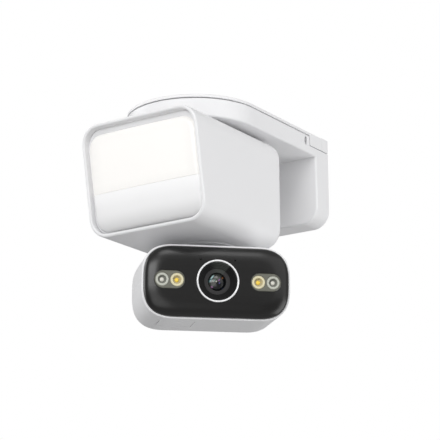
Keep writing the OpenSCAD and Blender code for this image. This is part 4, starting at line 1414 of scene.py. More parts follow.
@dataclass
class Lamp:
    """Floodlight box: its housing, lens, light unit and controls."""

    led_field: tuple[float, float] = (66, 24)
    led_field_at: tuple[float, float, float] = (0, 11.6, 11.25)
    sink_at: tuple[float, float, float] = (0, 14.5, 11.25)
    spindle_ring: float = 15.5
    motor_plate: float = 15.2
    split_gap: float = 0.16
    width: float = 98.5
    height: float = LAMP_HEIGHT
    rear: float = 66.2
    corner: float = 15.0
    rear_edge: float = 4.0
    wall: float = 2.5
    lens_half: float = 45.6
    lens_top: float = 32.7
    lens_split: float = -9.2
    lens_bottom: float = -37.0
    lens_corner: float = 11.0
    columns: int = 8
    led_rows: int = 4
    fins: int = 10
    port_x: float = -20.0
    button_x: float = 20.0
    port_z: float = -20.0
    pan_reach: float = 92.2
    bore: float = 15.0
    turret: float = 24.4
    spindle: float = 10.95
    pivot: float = 104.2
    frame_screw_at: tuple[tuple[float, float], ...] = ((-42, 20), (42, 20), (-42, -25), (42, -25))
    motor_posts: tuple[tuple[float, float], ...] = ((31, -78.2), (31, -106.2))
    top: float = field(default_factory=lamp_top)

    def ring(self, inset: float, shift: float, plane: float | None = None) -> Ring:
        """One ring of the housing, on the raked front or on a plane.

        Args:
            inset: How far in from the outline.
            shift: Distance behind the raked front, used with no plane.
            plane: A plane y, where the ring isn't raked.

        Returns:
            The ring's points.
        """
        middle = self.top - self.height / 2
        reach = LAYOUT.front.translation.y / MM
        outline = rounded(self.width - 2 * inset, self.height - 2 * inset, self.corner - inset, 2.15, 16)
        slope = math.tan(LAYOUT.rake)
        return [Vector((x, reach - slope * z + shift if plane is None else plane, middle + z))
                for x, z in outline]

    def skin(self) -> Solid:
        """The box's hollow shell with its rounded rim."""
        back = -self.rear
        outer = [self.ring(inset, 0, at) for at, inset in roll(back - self.rear_edge, back, self.rear_edge, 9)]
        outer = [self.ring(0, 0, back - self.rear_edge - 3), *outer]
        rim = [self.ring(inset, shift) for inset, shift in
               ((0, 14), (0, 1.3), (0.12, 0.75), (0.42, 0.3), (0.9, 0.04), (1.4, 0.0), (1.9, 0.12), (2.25, 0.4),
                (2.5, 0.9))]
        deep = back - self.wall
        edge = self.rear_edge - self.wall
        inner = [self.ring(self.wall + inset, 0, at) for at, inset in roll(deep - edge, deep, edge, 8)]
        return Solid.loft([*reversed(outer), *rim, *inner])

    def housing(self) -> Solid:
        """The shell with its bosses and openings."""
        low = self.top - self.height
        gear_z = low + 9.3
        made = self.skin()
        boss = [(0, low + self.wall - 1), (20.5, low + self.wall - 1), (20.5, low + self.wall), (19, low + 4),
                (19, gear_z - 0.8), (0, gear_z - 0.8)]
        made = made.joined(Solid.lathe(boss, 72, Axis.Z).at(0, -self.pan_reach, 0))
        for x, y in self.motor_posts:
            made = made.joined(Solid.rod(3, low + self.wall - 1, gear_z + 4.4, Axis.Z, (x, y, 0), 32))
        for side in (-1, 1):
            for y in (-138, -114):
                made = made.joined(Solid.rod(2.5, low + self.wall - 1, -43, Axis.Z, (side * 34, y, 0), 32))
            for z in (-36, 0):
                made = made.joined(Solid.rod(2.5, -self.rear - 7.2, -self.rear - 1, Axis.Y,
                                             (side * 34, 0, z), 32))
        pan = Matrix.Translation((0, -self.pan_reach, 0))
        recess = [(0, low - 2), (self.turret + 0.6, low - 2), (self.turret + 0.6, low - 0.05),
                  (self.turret, low + 0.5),
                  (self.turret, low + 1), (self.bore, low + 1), (self.bore, gear_z + 1), (0, gear_z + 1)]
        made = made.cut(Solid.lathe(recess, 96, Axis.Z).moved(pan))
        hub = Matrix.Translation((0, -self.pivot, 0))
        made = made.cut(Solid.rod(self.spindle, self.top - 10, self.top + 1, Axis.Z, hub.translation))
        for k in range(4):
            angle = math.radians(45 + 90 * k)
            spot = (15.5 * math.cos(angle), -self.pivot + 15.5 * math.sin(angle), 0)
            made = made.cut(Solid.rod(1.3, self.top - 6, self.top + 1, Axis.Z, spot, 24))
        port = Matrix.Translation((self.port_x, 0, self.port_z))
        back = -self.rear
        made = made.joined(Solid.prism(rounded(19, 13, 3), back - 3.4, back - 0.5).moved(port))
        made = made.cut(Solid.pillow((17.6, 11.6), 1.4, [(back - 1.2, 0.3), (back - 0.3, 0.3), (back + 0.02, 0),
                                                         (back + 1, 0)]).moved(port))
        made = made.cut(Solid.prism(rounded(9.2, 3.5, 1.6), back - 5, back + 1).moved(port))
        dish = [(0, back - 5), (4.1, back - 5), (4.1, back - 0.4), (4.6, back + 0.02), (4.6, back + 1),
                (0, back + 1)]
        return made.cut(Solid.lathe(dish, 64).at(self.button_x, 0, self.port_z))

    def lens(self) -> Solid:
        """The whole lens, crowned in both directions, before it is split."""
        wide, tall = 2 * self.lens_half, self.lens_top - self.lens_bottom
        middle = (self.lens_top + self.lens_bottom) / 2
        rings = []
        fronts = [(0, 5.0), (0, 3.2), (0.05, 2.2), (0.3, 1.4), (0.8, 0.8), (1.5, 0.35), (2.4, 0.1), (3.6, 0.0)]
        fronts += [(inset, 0.0) for inset in (6, 9, 13, 17, 21, 25, 29, 32, 34.3)]
        for inset, drop in fronts:
            ring = []
            corner = max(self.lens_corner - inset, min(2.0, tall / 2 - inset - 0.1))
            for x, z in rounded(wide - 2 * inset, tall - 2 * inset, corner, 2.2, 12, 9):
                crown = 0.3 + (x * x + z * z) / 1250
                ring.append(Vector((x, max(crown, 0.3) + drop if inset or drop < 5 else 5.0, middle + z)))
            rings.append(ring)
        return Solid.loft(rings)

    def lamp_field(self) -> None:
        """The grid of floodlight LEDs, each a base with a phosphor window, made by one tree."""
        tree = ShapeTree("flood_led_grid", {"Pitch X": self.led_field[0] / (self.columns - 1) * MM,
                                            "Pitch Z": self.led_field[1] / (self.led_rows - 1) * MM,
                                            "Base": 2.8 * MM,
                                            "Depth": 0.8 * MM})
        grid = tree.node("GeometryNodeMeshGrid", {}, {
            "Size X": tree.times(tree.given("Pitch X"), self.columns - 1.0),
            "Size Y": tree.times(tree.given("Pitch Z"), self.led_rows - 1.0),
            "Vertices X": self.columns, "Vertices Y": self.led_rows}).outputs[0]
        base = tree.cube(tree.given("Base"), tree.times(tree.given("Base"), 1.25), tree.given("Depth"))
        dome = tree.node("GeometryNodeMeshUVSphere", {}, {
            "Segments": 16, "Rings": 8, "Radius": tree.times(tree.given("Base"), 0.4)}).outputs[0]
        flat = tree.moved(dome, tree.vector(0.0, 0.0, tree.times(tree.given("Depth"), 0.3)), (1, 1, 0.18))
        obj = tree.run("flood_led_field", tree.copies(grid, tree.join(base, flat)), FINISHES["led_phosphor"])
        seat = LAYOUT.front @ Matrix.Translation(Vector(self.led_field_at) * MM)
        obj.data.transform(seat @ Matrix.Rotation(math.pi / 2, 4, "X"))
        settle(obj, "lamp", "led_phosphor", "flood_leds", 30)

    def fin_block(self) -> None:
        """The heat sink: a plate with a row of fins, made by one tree."""
        tree = ShapeTree("heat_sink_fins",
                         {"Pitch": 8 * MM, "Fin": 1.4 * MM, "Height": 35.5 * MM, "Width": 76 * MM,
                                            "Plate": 2 * MM, "Depth": 4 * MM})
        plate = tree.cube(tree.given("Width"), tree.given("Plate"), tree.given("Height"))
        fin = tree.cube(tree.given("Fin"), tree.given("Depth"), tree.given("Height"))
        span = tree.times(tree.given("Pitch"), (self.fins - 1) / 2)
        line = tree.node("GeometryNodeMeshLine", {"mode": "OFFSET"}, {
            "Count": self.fins, "Start Location": tree.vector(tree.times(span, -1.0), 2.5 * MM, 0.0),
            "Offset": tree.vector(tree.given("Pitch"), 0.0, 0.0)}).outputs[0]
        finish = Metal("ribbed_aluminium", (0.7, 0.7, 0.72), 0.34, Working.ROLLED)
        obj = tree.run("heat_sink_block", tree.join(plate, tree.copies(line, fin)), finish)
        obj.data.transform(LAYOUT.front @ Matrix.Translation(Vector(self.sink_at) * MM))
        settle(obj, "lamp", "machined_metal", "heat_sink", 30, finish)

    def controls(self) -> None:
        """The port's rubber door and the power button."""
        back = -self.rear
        port = Matrix.Translation(Vector((self.port_x, back, self.port_z)) * MM)
        door = Solid.pillow((16, 9.3), 1.2, [(-1.1, 0.2), (-0.9, 0), (-0.4, 0), *roll(-0.35, -0.1, 0.35, 3)])
        door = door.at(0, 0, 0.25)
        lip = Solid.pillow((6, 1.0), 0.3, [(-0.6, 0), (0.1, 0), (0.4, 0.2)]).at(0, 0, 4.4)
        door = door.joined(lip, Solid.rod(0.5, -8, 8, Axis.X, (0, -0.6, -4.4), 20))
        piece("port_cover_door", door, port, "port_cover", "cover_rubber", "port_cover")
        cap = [(0, -5), (3.8, -5), (4.8, -5), (4.8, -self.wall), (3.8, -self.wall), (3.8, -0.1), (3.6, 0.2),
               (3.2, 0.3), (2.6, 0.22), (1.4, 0.0), (0, -0.05)]
        spot = Matrix.Translation(Vector((self.button_x, back, self.port_z)) * MM)
        piece("power_button_cap", Solid.lathe(cap, 64), spot, "power_button", "button_plastic", "power_button")

    def build(self) -> None:
        """Makes the box's pieces."""
        piece("lamp_housing_moulding", self.housing(), WORLD, "lamp", "white_shell", "lamp_housing")
        lens, gap = self.lens(), self.split_gap
        upper = Solid.block((-60, -5, self.lens_split + gap), (60, 12, 60))
        lower = Solid.block((-60, -5, -60), (60, 12, self.lens_split - gap))
        piece("light_diffuser_panel", lens.common(upper), LAYOUT.front, "lamp", "warm_diffuser",
              "light_diffuser")
        piece("sensor_window_panel", lens.common(lower), LAYOUT.front, "lamp", "opal_window", "sensor_window")
        self.lamp_field()
        self.fin_block()
        self.controls()
        seats = [LAYOUT.front @ (Vector((x, 6.3, z)) * MM) for x, z in self.frame_screw_at]
        facing = (LAYOUT.front.to_3x3() @ Matrix.Rotation(math.pi / 2, 3, "X")).to_euler()
        Screw(1.8, 1.2, 1.15, 4.4).place("frame_screws", seats, facing, "lamp")
        ring = [math.radians(45 + 90 * k) for k in range(4)]
        seats = [Vector((self.spindle_ring * math.cos(a), -self.pivot + self.spindle_ring * math.sin(a),
                         self.top - self.wall)) * MM
                 for a in ring]
        Screw(2.4, 1.5, 1.2, 3.4).place("spindle_screws", seats, Euler((math.pi, 0, 0)), "lamp")
        plate = self.top - self.height + self.motor_plate
        seats = [Vector((x, y, plate)) * MM for x, y in self.motor_posts]
        Screw(2.4, 1.5, 1.15, 7).place("motor_screws", seats, Euler((0, 0, 0)), "lamp")


# ---------- neck ----------


@dataclass
class Neck:
    """Turning neck between the box and the head."""

    turret: float = 24.0
    stem: tuple[float, float] = (20.0, 14.0)
    stem_corner: float = 6.5
    drum: float = 13.5
    drum_width: float = 21.0
    spigot: float = 12.0
    lift: float = 9.3
    axle: float = 3.0

    def shape(self) -> Solid:
        """The neck with its round foot, flared stem and axle drum."""
        low = lamp_top() - LAMP_HEIGHT
        tilt = joint("tilt")["pos_m"][2] / MM
        under = low - 0.6
        disc = [(0, under), (self.turret - 0.9, under), (self.turret - 0.4, under + 0.12),
                (self.turret - 0.1, under + 0.45), (self.turret, under + 0.8), (self.turret, under + 1.3),
                (0, under + 1.3)]
        made = Solid.lathe(disc, 112, Axis.Z)
        made = made.joined(Solid.rod(self.spigot, under, low + self.lift, Axis.Z, steps=72))
        made = made.joined(Solid.rod(10, low + self.lift - 1, low + self.lift + 5, Axis.Z, steps=72))
        flare = [(tilt, 0), (under - 3.4, 0), (under - 2.2, -0.15), (under - 1.3, -0.6), (under - 0.6, -1.4),
                 (under - 0.15, -2.5), (under + 0.5, -3.2)]
        made = made.joined(Solid.pillow(self.stem, self.stem_corner, flare, 2.2, 12, Axis.Z))
        half = self.drum_width / 2
        cheeks = [(0, -half), (self.drum - 0.8, -half), (self.drum - 0.25, -half + 0.25),
                  (self.drum, -half + 0.8),
                  (self.drum, half - 0.8), (self.drum - 0.25, half - 0.25), (self.drum - 0.8, half), (0, half)]
        made = made.joined(Solid.lathe(cheeks, 96, Axis.X).at(0, 0, tilt))
        made = made.cut(Solid.rod(3, tilt + 8, low + self.lift + 10, Axis.Z, steps=48))
        return made.cut(Solid.rod(self.axle, -20, 20, Axis.X, (0, 0, tilt), 48))

    def build(self) -> None:
        """Makes the neck's own piece."""
        piece("neck_moulding", self.shape(), LAYOUT.neck, "neck", "white_shell", "neck")


# ---------- camera head ----------


@dataclass
class Head:
    """Camera head: shell, dark face, lens, lamp windows and card cover."""

    width: float = 103.6
    height: float = 51.8
    rim: float = -48.0
    depth: float = 64.5
    corner: float = 24.0
    power: float = 2.7
    edge: float = 10.0
    wall: float = 2.2
    rim_wall: float = 1.2
    face: float = -54.9
    face_clear: float = 0.12
    face_wall: float = 1.8
    ring_outer: float = 14.8
    ring_inner: float = 13.55
    glass: float = 6.3
    window_x: float = 33.4
    window: tuple[float, float] = (21.4, 12.8)
    led_pitch: float = 10.25
    slot_width: float = 22.6
    pocket: float = 14.2
    lip: float = 8.2
    cheek: float = 2.0
    axle: float = 3.05
    tilt_mesh: float = 13.55
    flap_x: float = -25.0
    flap_size: tuple[float, float] = (24.0, 24.0)
    flap_y: float = -23.0
    slots: int = 8
    slot_pitch: float = 4.2

    def core(self, inset: float, front: float) -> Solid:
        """The head's outside, or its hollow when inset.

        Args:
            inset: How far in from the outside.
            front: Where it begins.

        Returns:
            The solid.
        """
        back = self.rim + self.depth - inset
        edge = self.edge - inset
        stations = [(front, inset), (front + 1, inset), (back - edge - 6, inset)]
        stations += [(at, inset + more) for at, more in roll(back - edge, back - 0.35, edge, 11, 2.15)]
        stations += [(back - 0.16, inset + edge + 2.5), (back - 0.05, inset + edge + 5),
                     (back, inset + edge + 8)]
        return Solid.pillow((self.width, self.height), self.corner, stations, self.power, 18)

    def outside(self) -> Solid:
        """The head's outside with a small round on its rim."""
        back, edge = self.rim + self.depth, self.edge
        stations = [(self.rim, 0.75), (self.rim + 0.05, 0.45), (self.rim + 0.25, 0.15), (self.rim + 0.6, 0),
                    (self.rim + 2, 0), (back - edge - 6, 0)]
        stations += roll(back - edge, back - 0.35, edge, 11, 2.15)
        stations += [(back - 0.16, edge + 2.5), (back - 0.05, edge + 5), (back, edge + 8)]
        return Solid.pillow((self.width, self.height), self.corner, stations, self.power, 18)

    def pocket_prism(self, grow: float, half: float) -> Solid:
        """Room for the neck's drum and stem, open to the back and the top."""
        radius, lip = self.pocket + grow, self.lip + grow
        spread = math.asin(math.sqrt(radius * radius - lip * lip) / radius)
        first, last = math.pi - spread, 1.5 * math.pi + spread
        steps = 40
        arc = [first + (last - first) * k / steps for k in range(steps + 1)]
        points = [(radius * math.cos(a), radius * math.sin(a)) for a in arc]
        outline = [(-lip, 60), *points, (60, -lip), (60, 60)]
        return Solid.prism(outline, -half, half, Axis.X)

    def flap_plan(self, grow: float) -> Flat:
        """Plan of the card cover: round corners in front, square ones at its hinge."""
        wide, long = self.flap_size[0] / 2 + grow, self.flap_size[1] / 2 + grow
        radius = 2.2 + grow
        arc = [k / 8 * math.pi / 2 for k in range(9)]
        left = [(-wide + radius - radius * math.cos(a), -long + radius - radius * math.sin(a)) for a in arc]
        right = [(-x, y) for x, y in reversed(left)]
        return [*left, *right, (wide, long), (-wide, long)]

    def at_flap(self) -> Matrix:
        """Frame of the card cover."""
        return Matrix.Translation((self.flap_x, self.flap_y, -self.height / 2))

    def speaker_cutter(self) -> Solid:
        """Row of rounded slots, made by one tree."""
        tree = ShapeTree("speaker_slots", {"Pitch": self.slot_pitch, "Slot Width": 1.4, "Slot Height": 3.4,
                                           "Depth": 4.0})
        radius = tree.times(tree.given("Slot Width"), 0.5)
        outline = tree.node("GeometryNodeCurvePrimitiveQuadrilateral", {"mode": "RECTANGLE"}, {
            "Width": tree.given("Slot Height"), "Height": tree.given("Slot Width")}).outputs[0]
        soft = tree.node("GeometryNodeFilletCurve", {"mode": "POLY"}, {
            "Curve": outline, "Radius": tree.times(radius, 0.98), "Count": 6}).outputs[0]
        filled = tree.node("GeometryNodeFillCurve", {"mode": "NGONS"}, {0: soft}).outputs[0]
        deep = tree.node("GeometryNodeExtrudeMesh", {"mode": "FACES"}, {
            "Mesh": filled, "Offset Scale": tree.given("Depth"), "Individual": False})
        back = tree.node("GeometryNodeFlipFaces", {}, {0: filled}).outputs[0]
        closed = tree.node("GeometryNodeMergeByDistance", {}, {0: tree.join(deep.outputs[0], back)}).outputs[0]
        line = tree.node("GeometryNodeMeshLine", {"mode": "OFFSET"}, {
            "Count": self.slots, "Offset": tree.vector(0.0, tree.given("Pitch"), 0.0)}).outputs[0]
        obj = tree.run("speaker_slot_cutter", tree.copies(line, closed), SHELL)
        obj.data.materials.clear()
        side = Matrix.Translation((-self.width / 2 - 1, self.rim + 6.3,
                                   0)) @ Matrix.Rotation(math.pi / 2, 4, "Y")
        obj.data.transform(side)
        bm = bmesh.new()
        bm.from_mesh(obj.data)
        bmesh.ops.recalc_face_normals(bm, faces=bm.faces)
        bm.to_mesh(obj.data)
        bm.free()
        made = Solid(obj.data.copy())
        bpy.data.objects.remove(obj)
        return made

    def shell(self) -> Solid:
        """The shell with its pocket, bosses, card well, speaker slots and gasket ledge."""
        outside = self.outside()
        rabbet = self.width - 2 * self.rim_wall, self.height - 2 * self.rim_wall
        rabbet_corner = self.corner - self.rim_wall
        made = outside.cut(self.core(self.wall, self.rim - 1), Solid.pillow(
            rabbet, rabbet_corner, [(self.rim - 1, 0), (self.rim + 2.6, 0)], self.power, 18))
        half = self.slot_width / 2
        extras = self.pocket_prism(self.cheek, half + self.cheek)
        extras = extras.joined(Solid.rod(6, -half - 4, half + 4, Axis.X, steps=48))
        well = Solid.block((-14.5, -13.5, 0), (14.5, 13.5, 6)).moved(self.at_flap())
        pad = Solid.block((24, -22, -self.height / 2), (36, -4, -14))
        made = made.joined(extras.common(outside), well.common(outside), pad.common(outside))
        ledge = Solid.prism(rounded(self.width - 3, self.height - 3, self.corner - 1.5, self.power, 18),
                            self.rim + 3.2, self.rim + 4.8)
        ledge = ledge.cut(Solid.prism(rounded(self.width - 8, self.height - 8, self.corner - 4, self.power, 18),
                                      self.rim, self.rim + 9))
        made = made.joined(ledge)
        made = made.cut(self.pocket_prism(0, half), Solid.rod(self.axle, -40, 40, Axis.X, steps=48))
        flap = self.at_flap()
        made = made.cut(Solid.prism(self.flap_plan(0.4), -1, 1.6, Axis.Z).moved(flap))
        made = made.cut(Solid.prism(rounded(self.flap_size[0] - 3, 19, 1.5), -1, 4.8, Axis.Z).moved(flap))
        made = made.cut(Solid.block((-7.6, -4.7, 3), (7.6, -0.9, 7)).moved(flap))
        made = made.cut(Solid.rod(1.7, 3, 7, Axis.Z, (6, 4.6, 0), 32).moved(flap))
        drop = -self.tilt_mesh * math.cos(math.pi / 4)
        made = made.cut(Solid.rod(9, 20, 42, Axis.X, (0, drop, drop), 64))
        return made.cut(self.speaker_cutter())

    def face_solid(self, inset: float, back: float) -> Solid:
        """The pillowed face, or its hollow when inset."""
        off = self.rim_wall + self.face_clear + inset
        front = self.face + inset
        stations = [(back, 0), (self.rim + 0.2, 0)]
        stations += [(at, more) for at, more in roll(self.rim - 0.6, front + 0.1, 12 - inset, 16, 2.0)]
        stations += [(front + 0.04, 13.5 - inset), (front, 15 - inset)]
        return Solid.pillow((self.width - 2 * off, self.height - 2 * off), self.corner - off, stations,
                            self.power, 18)

    def face_plate(self) -> Solid:
        """The face with its openings and screw posts."""
        made = self.face_solid(0, self.rim + 2).cut(self.face_solid(self.face_wall, self.rim + 3))
        for side in (-1, 1):
            for z in (-16, 16):
                made = made.joined(Solid.rod(2.2, self.face + 1, -30, Axis.Y, (side * 29, 0, z), 32))
        front = self.face
        bore = [(0, front - 1), (self.ring_outer + 0.25, front - 1), (self.ring_outer + 0.25, front),
                (self.ring_outer, front + 0.3), (self.ring_outer, front + 5), (0, front + 5)]
        made = made.cut(Solid.lathe(bore, 128))
        wide, tall = self.window
        for side in (-1, 1):
            plan = rounded(wide + 0.2, tall + 0.2, tall / 2 + 0.099, 2, 20)
            cutter = Solid.prism(plan, front - 1, front + 5).at(side * self.window_x, 0, 0)
            dot = Solid.lathe([(0, front - 1), (0.75, front - 1), (0.75, front), (0.5, front + 0.25),
                               (0.5, front + 5), (0, front + 5)], 24).at(side * 12, 0, 14.6)
            made = made.cut(cutter, dot)
        return made

    def bright_ring(self) -> Solid:
        """The ring round the lens, with a softly rounded front."""
        outer, inner, front = self.ring_outer, self.ring_inner, self.face
        profile = [(inner, front + 4), (inner, front + 0.15), (inner + 0.08, front - 0.15),
                   (inner + 0.3, front - 0.4),
                   (inner + 0.65, front - 0.5), (outer - 0.65, front - 0.5), (outer - 0.3, front - 0.4),
                   (outer - 0.08, front - 0.15), (outer, front + 0.15), (outer, front + 4)]
        return Solid.lathe(profile, 144)

    def barrel(self) -> Solid:
        """The stepped barrel, down to the ring that holds the glass, with its mount behind."""
        front = self.face
        profile: Flat = [(4, front + 15), (4, front + 8), (self.glass, front + 8), (self.glass, front + 4.2),
                         (self.glass + 0.15, front + 3.95), (7.6, front + 3.72), (9.0, front + 3.62),
                         (9.1, front + 3.9)]
        reach, depth = 9.45, 3.9
        for _ in range(4):
            profile += [(reach, front + depth), (reach, front + depth - 0.78),
                        (reach + 0.12, front + depth - 0.9)]
            reach, depth = reach + 0.95, depth - 0.9
        profile += [(13.3, front + 0.3), (13.4, front + 0.3), (13.5, front + 0.4), (13.5, front + 8),
                    (11, front + 8), (11, front + 15)]
        seen: Flat = []
        for point in profile:
            if not seen or (Vector(point) - Vector(seen[-1])).length > 1e-3:
                seen.append(point)
        made = Solid.lathe(seen, 128)
        base = Solid.block((-13, front + 14.5, -13), (13, front + 20, 13))
        base = base.cut(Solid.rod(4, front + 10, front + 18),
                        Solid.block((-8, front + 17, -8), (8, front + 21, 8)))
        return made.joined(base)

    def dome(self) -> Solid:
        """The domed front element."""
        centre, ball, front = self.face + 12.4, 9.0, self.face + 9
        steps = 14
        limit = math.asin(self.glass / ball)
        arc = [(ball * math.sin(limit * k / steps), centre - ball * math.cos(limit * k / steps))
               for k in range(steps + 1)]
        return Solid.lathe([*arc, (self.glass, front), (0, front)], 96)

    def windows(self, side: int) -> Solid:
        """One smoked window with its two round openings."""
        wide, tall = self.window
        front = self.face
        plan = Solid.pillow((wide, tall), tall / 2 - 0.001,
                            [(front + 3.4, 0), (front + 0.5, 0), (front + 0.2, 0.08),
                                                            (front, 0.35)], 2, 20)
        for s in (-1, 1):
            hole = [(0, front - 1), (4.8, front - 1), (4.8, front), (4.62, front + 0.25), (4.62, front + 5),
                    (0, front + 5)]
            plan = plan.cut(Solid.lathe(hole, 64).at(s * self.led_pitch / 2, 0, 0))
        return plan.at(side * self.window_x, 0, 0)

    def dishes(self) -> None:
        """The four lamp dishes and their LEDs, each set made by one tree from a turned shape."""
        front = self.face
        dish = Solid.lathe([(1.5, front + 3.4), (1.5, front + 2.6), (2.2, front + 2.5), (2.75, front + 1.7),
                            (2.95, front + 0.7), (3.1, front + 0.32), (3.5, front + 0.2), (4.25, front + 0.22),
                            (4.6, front + 0.5), (4.6, front + 3.4)], 56)
        bulb = Solid.lathe([(0, front + 1.4), (0.6, front + 1.45), (1.1, front + 1.6), (1.42, front + 1.95),
                            (1.5, front + 2.4), (1.5, front + 3.4), (0, front + 3.4)], 40)
        offset = self.led_pitch / 2
        inner = [side * (self.window_x - offset) for side in (-1, 1)]
        outer = [side * (self.window_x + offset) for side in (-1, 1)]
        for name, shape, spots, slot, node in (
            ("led_dish_set", dish, inner + outer, "reflector_cream", "led_reflectors"),
            ("white_led_set", bulb, inner, "led_phosphor", "white_leds"),
            ("infrared_led_set", bulb, outer, "led_clear", "infrared_leds"),
        ):
            source = bpy.data.objects.new(name + "_source", shape.mesh)
            bpy.context.scene.collection.objects.link(source)
            tree = ShapeTree(name + "_shape", {"Size": 1.0})
            given = tree.node("GeometryNodeObjectInfo", {"transform_space": "ORIGINAL"})
            given.inputs["Object"].default_value = source
            size = tree.given("Size")
            copies = tree.copies(tree.seats(), given.outputs["Geometry"], Scale=tree.vector(size, size, size))
            obj = tree.run(name, copies, FINISHES[slot], [(x, 0, 0) for x in spots])
            bpy.data.objects.remove(source)
            obj.data.transform(LAYOUT.head @ Matrix.Scale(MM, 4))
            settle(obj, "head", slot, node, CRISP)

    def flap(self) -> Solid:
        """The card cover, flush with the shell, with its hinge barrel and a finger notch."""
        hinge = self.flap_size[1] / 2 - 0.8
        leaf = Solid.prism(self.flap_plan(0), 0, 1.4, Axis.Z)
        leaf = leaf.common(Solid.block((-30, -30, -1), (30, hinge, 3)))
        notch = Solid.rod(3.2, -4, 4, Axis.X, (0, -self.flap_size[1] / 2 + 2.6, -2.75), 40)
        leaf = leaf.cut(notch)
        barrel = Solid.rod(0.8, -self.flap_size[0] / 2, self.flap_size[0] / 2, Axis.X, (0, hinge, 0.8), 24)
        return leaf.joined(barrel).moved(self.at_flap()).common(self.outside())

    def build(self) -> None:
        """Makes the head's pieces."""
        place = LAYOUT.head
        piece("head_shell_moulding", self.shell(), place, "head", "white_shell", "head_shell")
        piece("face_plate_moulding", self.face_plate(), place, "head", "face_gloss", "face_plate")
        piece("lens_ring_trim", self.bright_ring(), place, "head", "bright_ring", "lens_ring")
        piece("lens_barrel_turned", self.barrel(), place, "head", "barrel_black", "lens_barrel")
        piece("front_lens_dome", self.dome(), place, "head", "lens_glass", "front_lens")
        for side, name in ((-1, "left_led_window"), (1, "right_led_window")):
            piece(name + "_plate", self.windows(side), place, "head", "window_grey", name)
        self.dishes()
        piece("card_flap_moulding", self.flap(), place, "card_flap", "white_shell", "card_flap")


# ---------- stage ----------


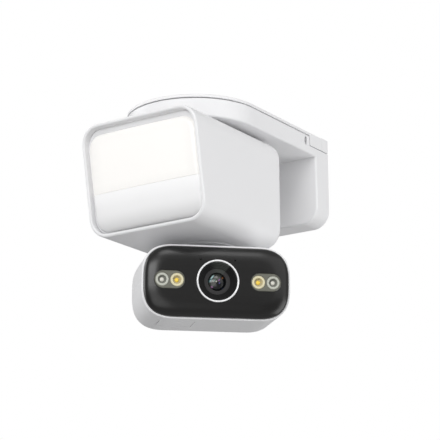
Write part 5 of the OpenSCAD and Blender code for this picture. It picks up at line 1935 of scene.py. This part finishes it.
@dataclass
class Stage:
    """Camera, lights, floor and surroundings."""

    eye: tuple[float, float, float] = (0.7259, -1.1525, -0.4098)
    aim: tuple[float, float, float] = (-0.0417, -0.0110, -0.0156)
    lean: float = math.radians(-0.37)
    lens: float = 151.7
    floor_z: float = -1.6

    def camera(self) -> None:
        """Sets the camera below and to the side of the box."""
        data = bpy.data.cameras.new("camera")
        data.lens = self.lens
        data.sensor_width = 36
        data.clip_start = 0.02
        data.clip_end = 60
        camera = bpy.data.objects.new("camera", data)
        eye = Vector(self.eye)
        back = (eye - Vector(self.aim)).normalized()
        right = Vector((0, 0, 1)).cross(back).normalized()
        up = back.cross(right)
        cos, sin = math.cos(self.lean), math.sin(self.lean)
        right, up = cos * right + sin * up, cos * up - sin * right
        camera.matrix_world = Matrix.Translation(eye) @ Matrix((right, up, back)).transposed().to_4x4()
        bpy.context.scene.collection.objects.link(camera)
        bpy.context.scene.camera = camera

    def softbox(self, name: str, spot: Sequence[float], size: tuple[float, float], power: float) -> None:
        """Adds one soft light aimed at the object.

        Args:
            name: The light's name.
            spot: Its place, in metres.
            size: Its width and height.
            power: Its power in watts.
        """
        data = bpy.data.lights.new(name, "AREA")
        data.shape = "RECTANGLE"
        data.size, data.size_y = size
        data.energy = power
        lamp = bpy.data.objects.new(name, data)
        lamp.matrix_world = Matrix.Translation(spot) @ (
            (Vector((0, -0.1, -0.03)) - Vector(spot)).to_track_quat("-Z", "Y").to_matrix().to_4x4())
        bpy.context.scene.collection.objects.link(lamp)

    def surroundings(self) -> None:
        """White where the camera looks past the object, and a soft grey studio for the light."""
        world = bpy.data.worlds.new("studio")
        bpy.context.scene.world = world
        world.use_nodes = True
        tree = world.node_tree
        tree.nodes.clear()
        path = tree.nodes.new("ShaderNodeLightPath")
        coords = tree.nodes.new("ShaderNodeTexCoord")
        parts = tree.nodes.new("ShaderNodeSeparateXYZ")
        grade = tree.nodes.new("ShaderNodeMapRange")
        grade.inputs["From Min"].default_value = -0.5
        grade.inputs["From Max"].default_value = 0.9
        grade.inputs["To Min"].default_value = 0.2
        grade.inputs["To Max"].default_value = 0.46
        seen = tree.nodes.new("ShaderNodeBackground")
        seen.inputs["Strength"].default_value = 1.0
        seen.inputs["Color"].default_value = (1, 1, 1, 1)
        light = tree.nodes.new("ShaderNodeBackground")
        light.inputs["Color"].default_value = (1, 1, 1, 1)
        mix = tree.nodes.new("ShaderNodeMixShader")
        out = tree.nodes.new("ShaderNodeOutputWorld")
        for source, target in (
            (coords.outputs["Generated"], parts.inputs[0]),
            (parts.outputs[2], grade.inputs["Value"]),
            (grade.outputs[0], light.inputs["Strength"]),
            (path.outputs["Is Camera Ray"], mix.inputs[0]),
            (light.outputs[0], mix.inputs[1]),
            (seen.outputs[0], mix.inputs[2]),
            (mix.outputs[0], out.inputs[0]),
        ):
            tree.links.new(source, target)

    def floor(self) -> None:
        """A wide pale floor well below the object."""
        mesh = bpy.data.meshes.new("floor")
        reach = 6.0
        mesh.from_pydata([(x, y, self.floor_z) for x, y in
                          ((-reach, -reach), (reach, -reach), (reach, reach),
                           (-reach, reach))], [], [(0, 1, 2, 3)])
        floor = bpy.data.objects.new("floor", mesh)
        bpy.context.scene.collection.objects.link(floor)
        mesh.materials.append(MouldedPlastic("pale_floor", (0.6, 0.6, 0.6), 0.8, 30, 0.0001, 0.01,
                                             0.0).material())

    def build(self) -> None:
        """Sets the camera, the lights, the floor and the surroundings."""
        self.camera()
        self.surroundings()
        self.floor()
        self.softbox("key_light", (0.2, -1.58, 0.24), (1.1, 0.5), 10)
        self.softbox("high_light", (0.75, -0.95, 1.1), (0.8, 0.6), 5)
        self.softbox("side_light", (1.5, -0.1, 0.5), (1.8, 1.4), 6)
        self.softbox("left_light", (-1.5, -0.5, 0.4), (0.9, 1.2), 9)
        self.softbox("low_light", (0.9, 0.45, -0.6), (0.9, 0.9), 6)
        self.softbox("front_fill", (0.5, -1.35, -0.62), (1.2, 0.8), 4)
        scene = bpy.context.scene
        scene.view_settings.view_transform = "Standard"


def main() -> None:
    """Builds the stage, dresses the carried-over nodes and makes every sub-assembly."""
    logging.basicConfig(level=logging.INFO, format="%(name)s: %(message)s")
    Stage().build()
    dress_nodes()
    for part in (Bracket(), Lamp(), Neck(), Head()):
        LOG.info("building %s", type(part).__name__.lower())
        part.build()


if __name__ == "__main__":
    main()
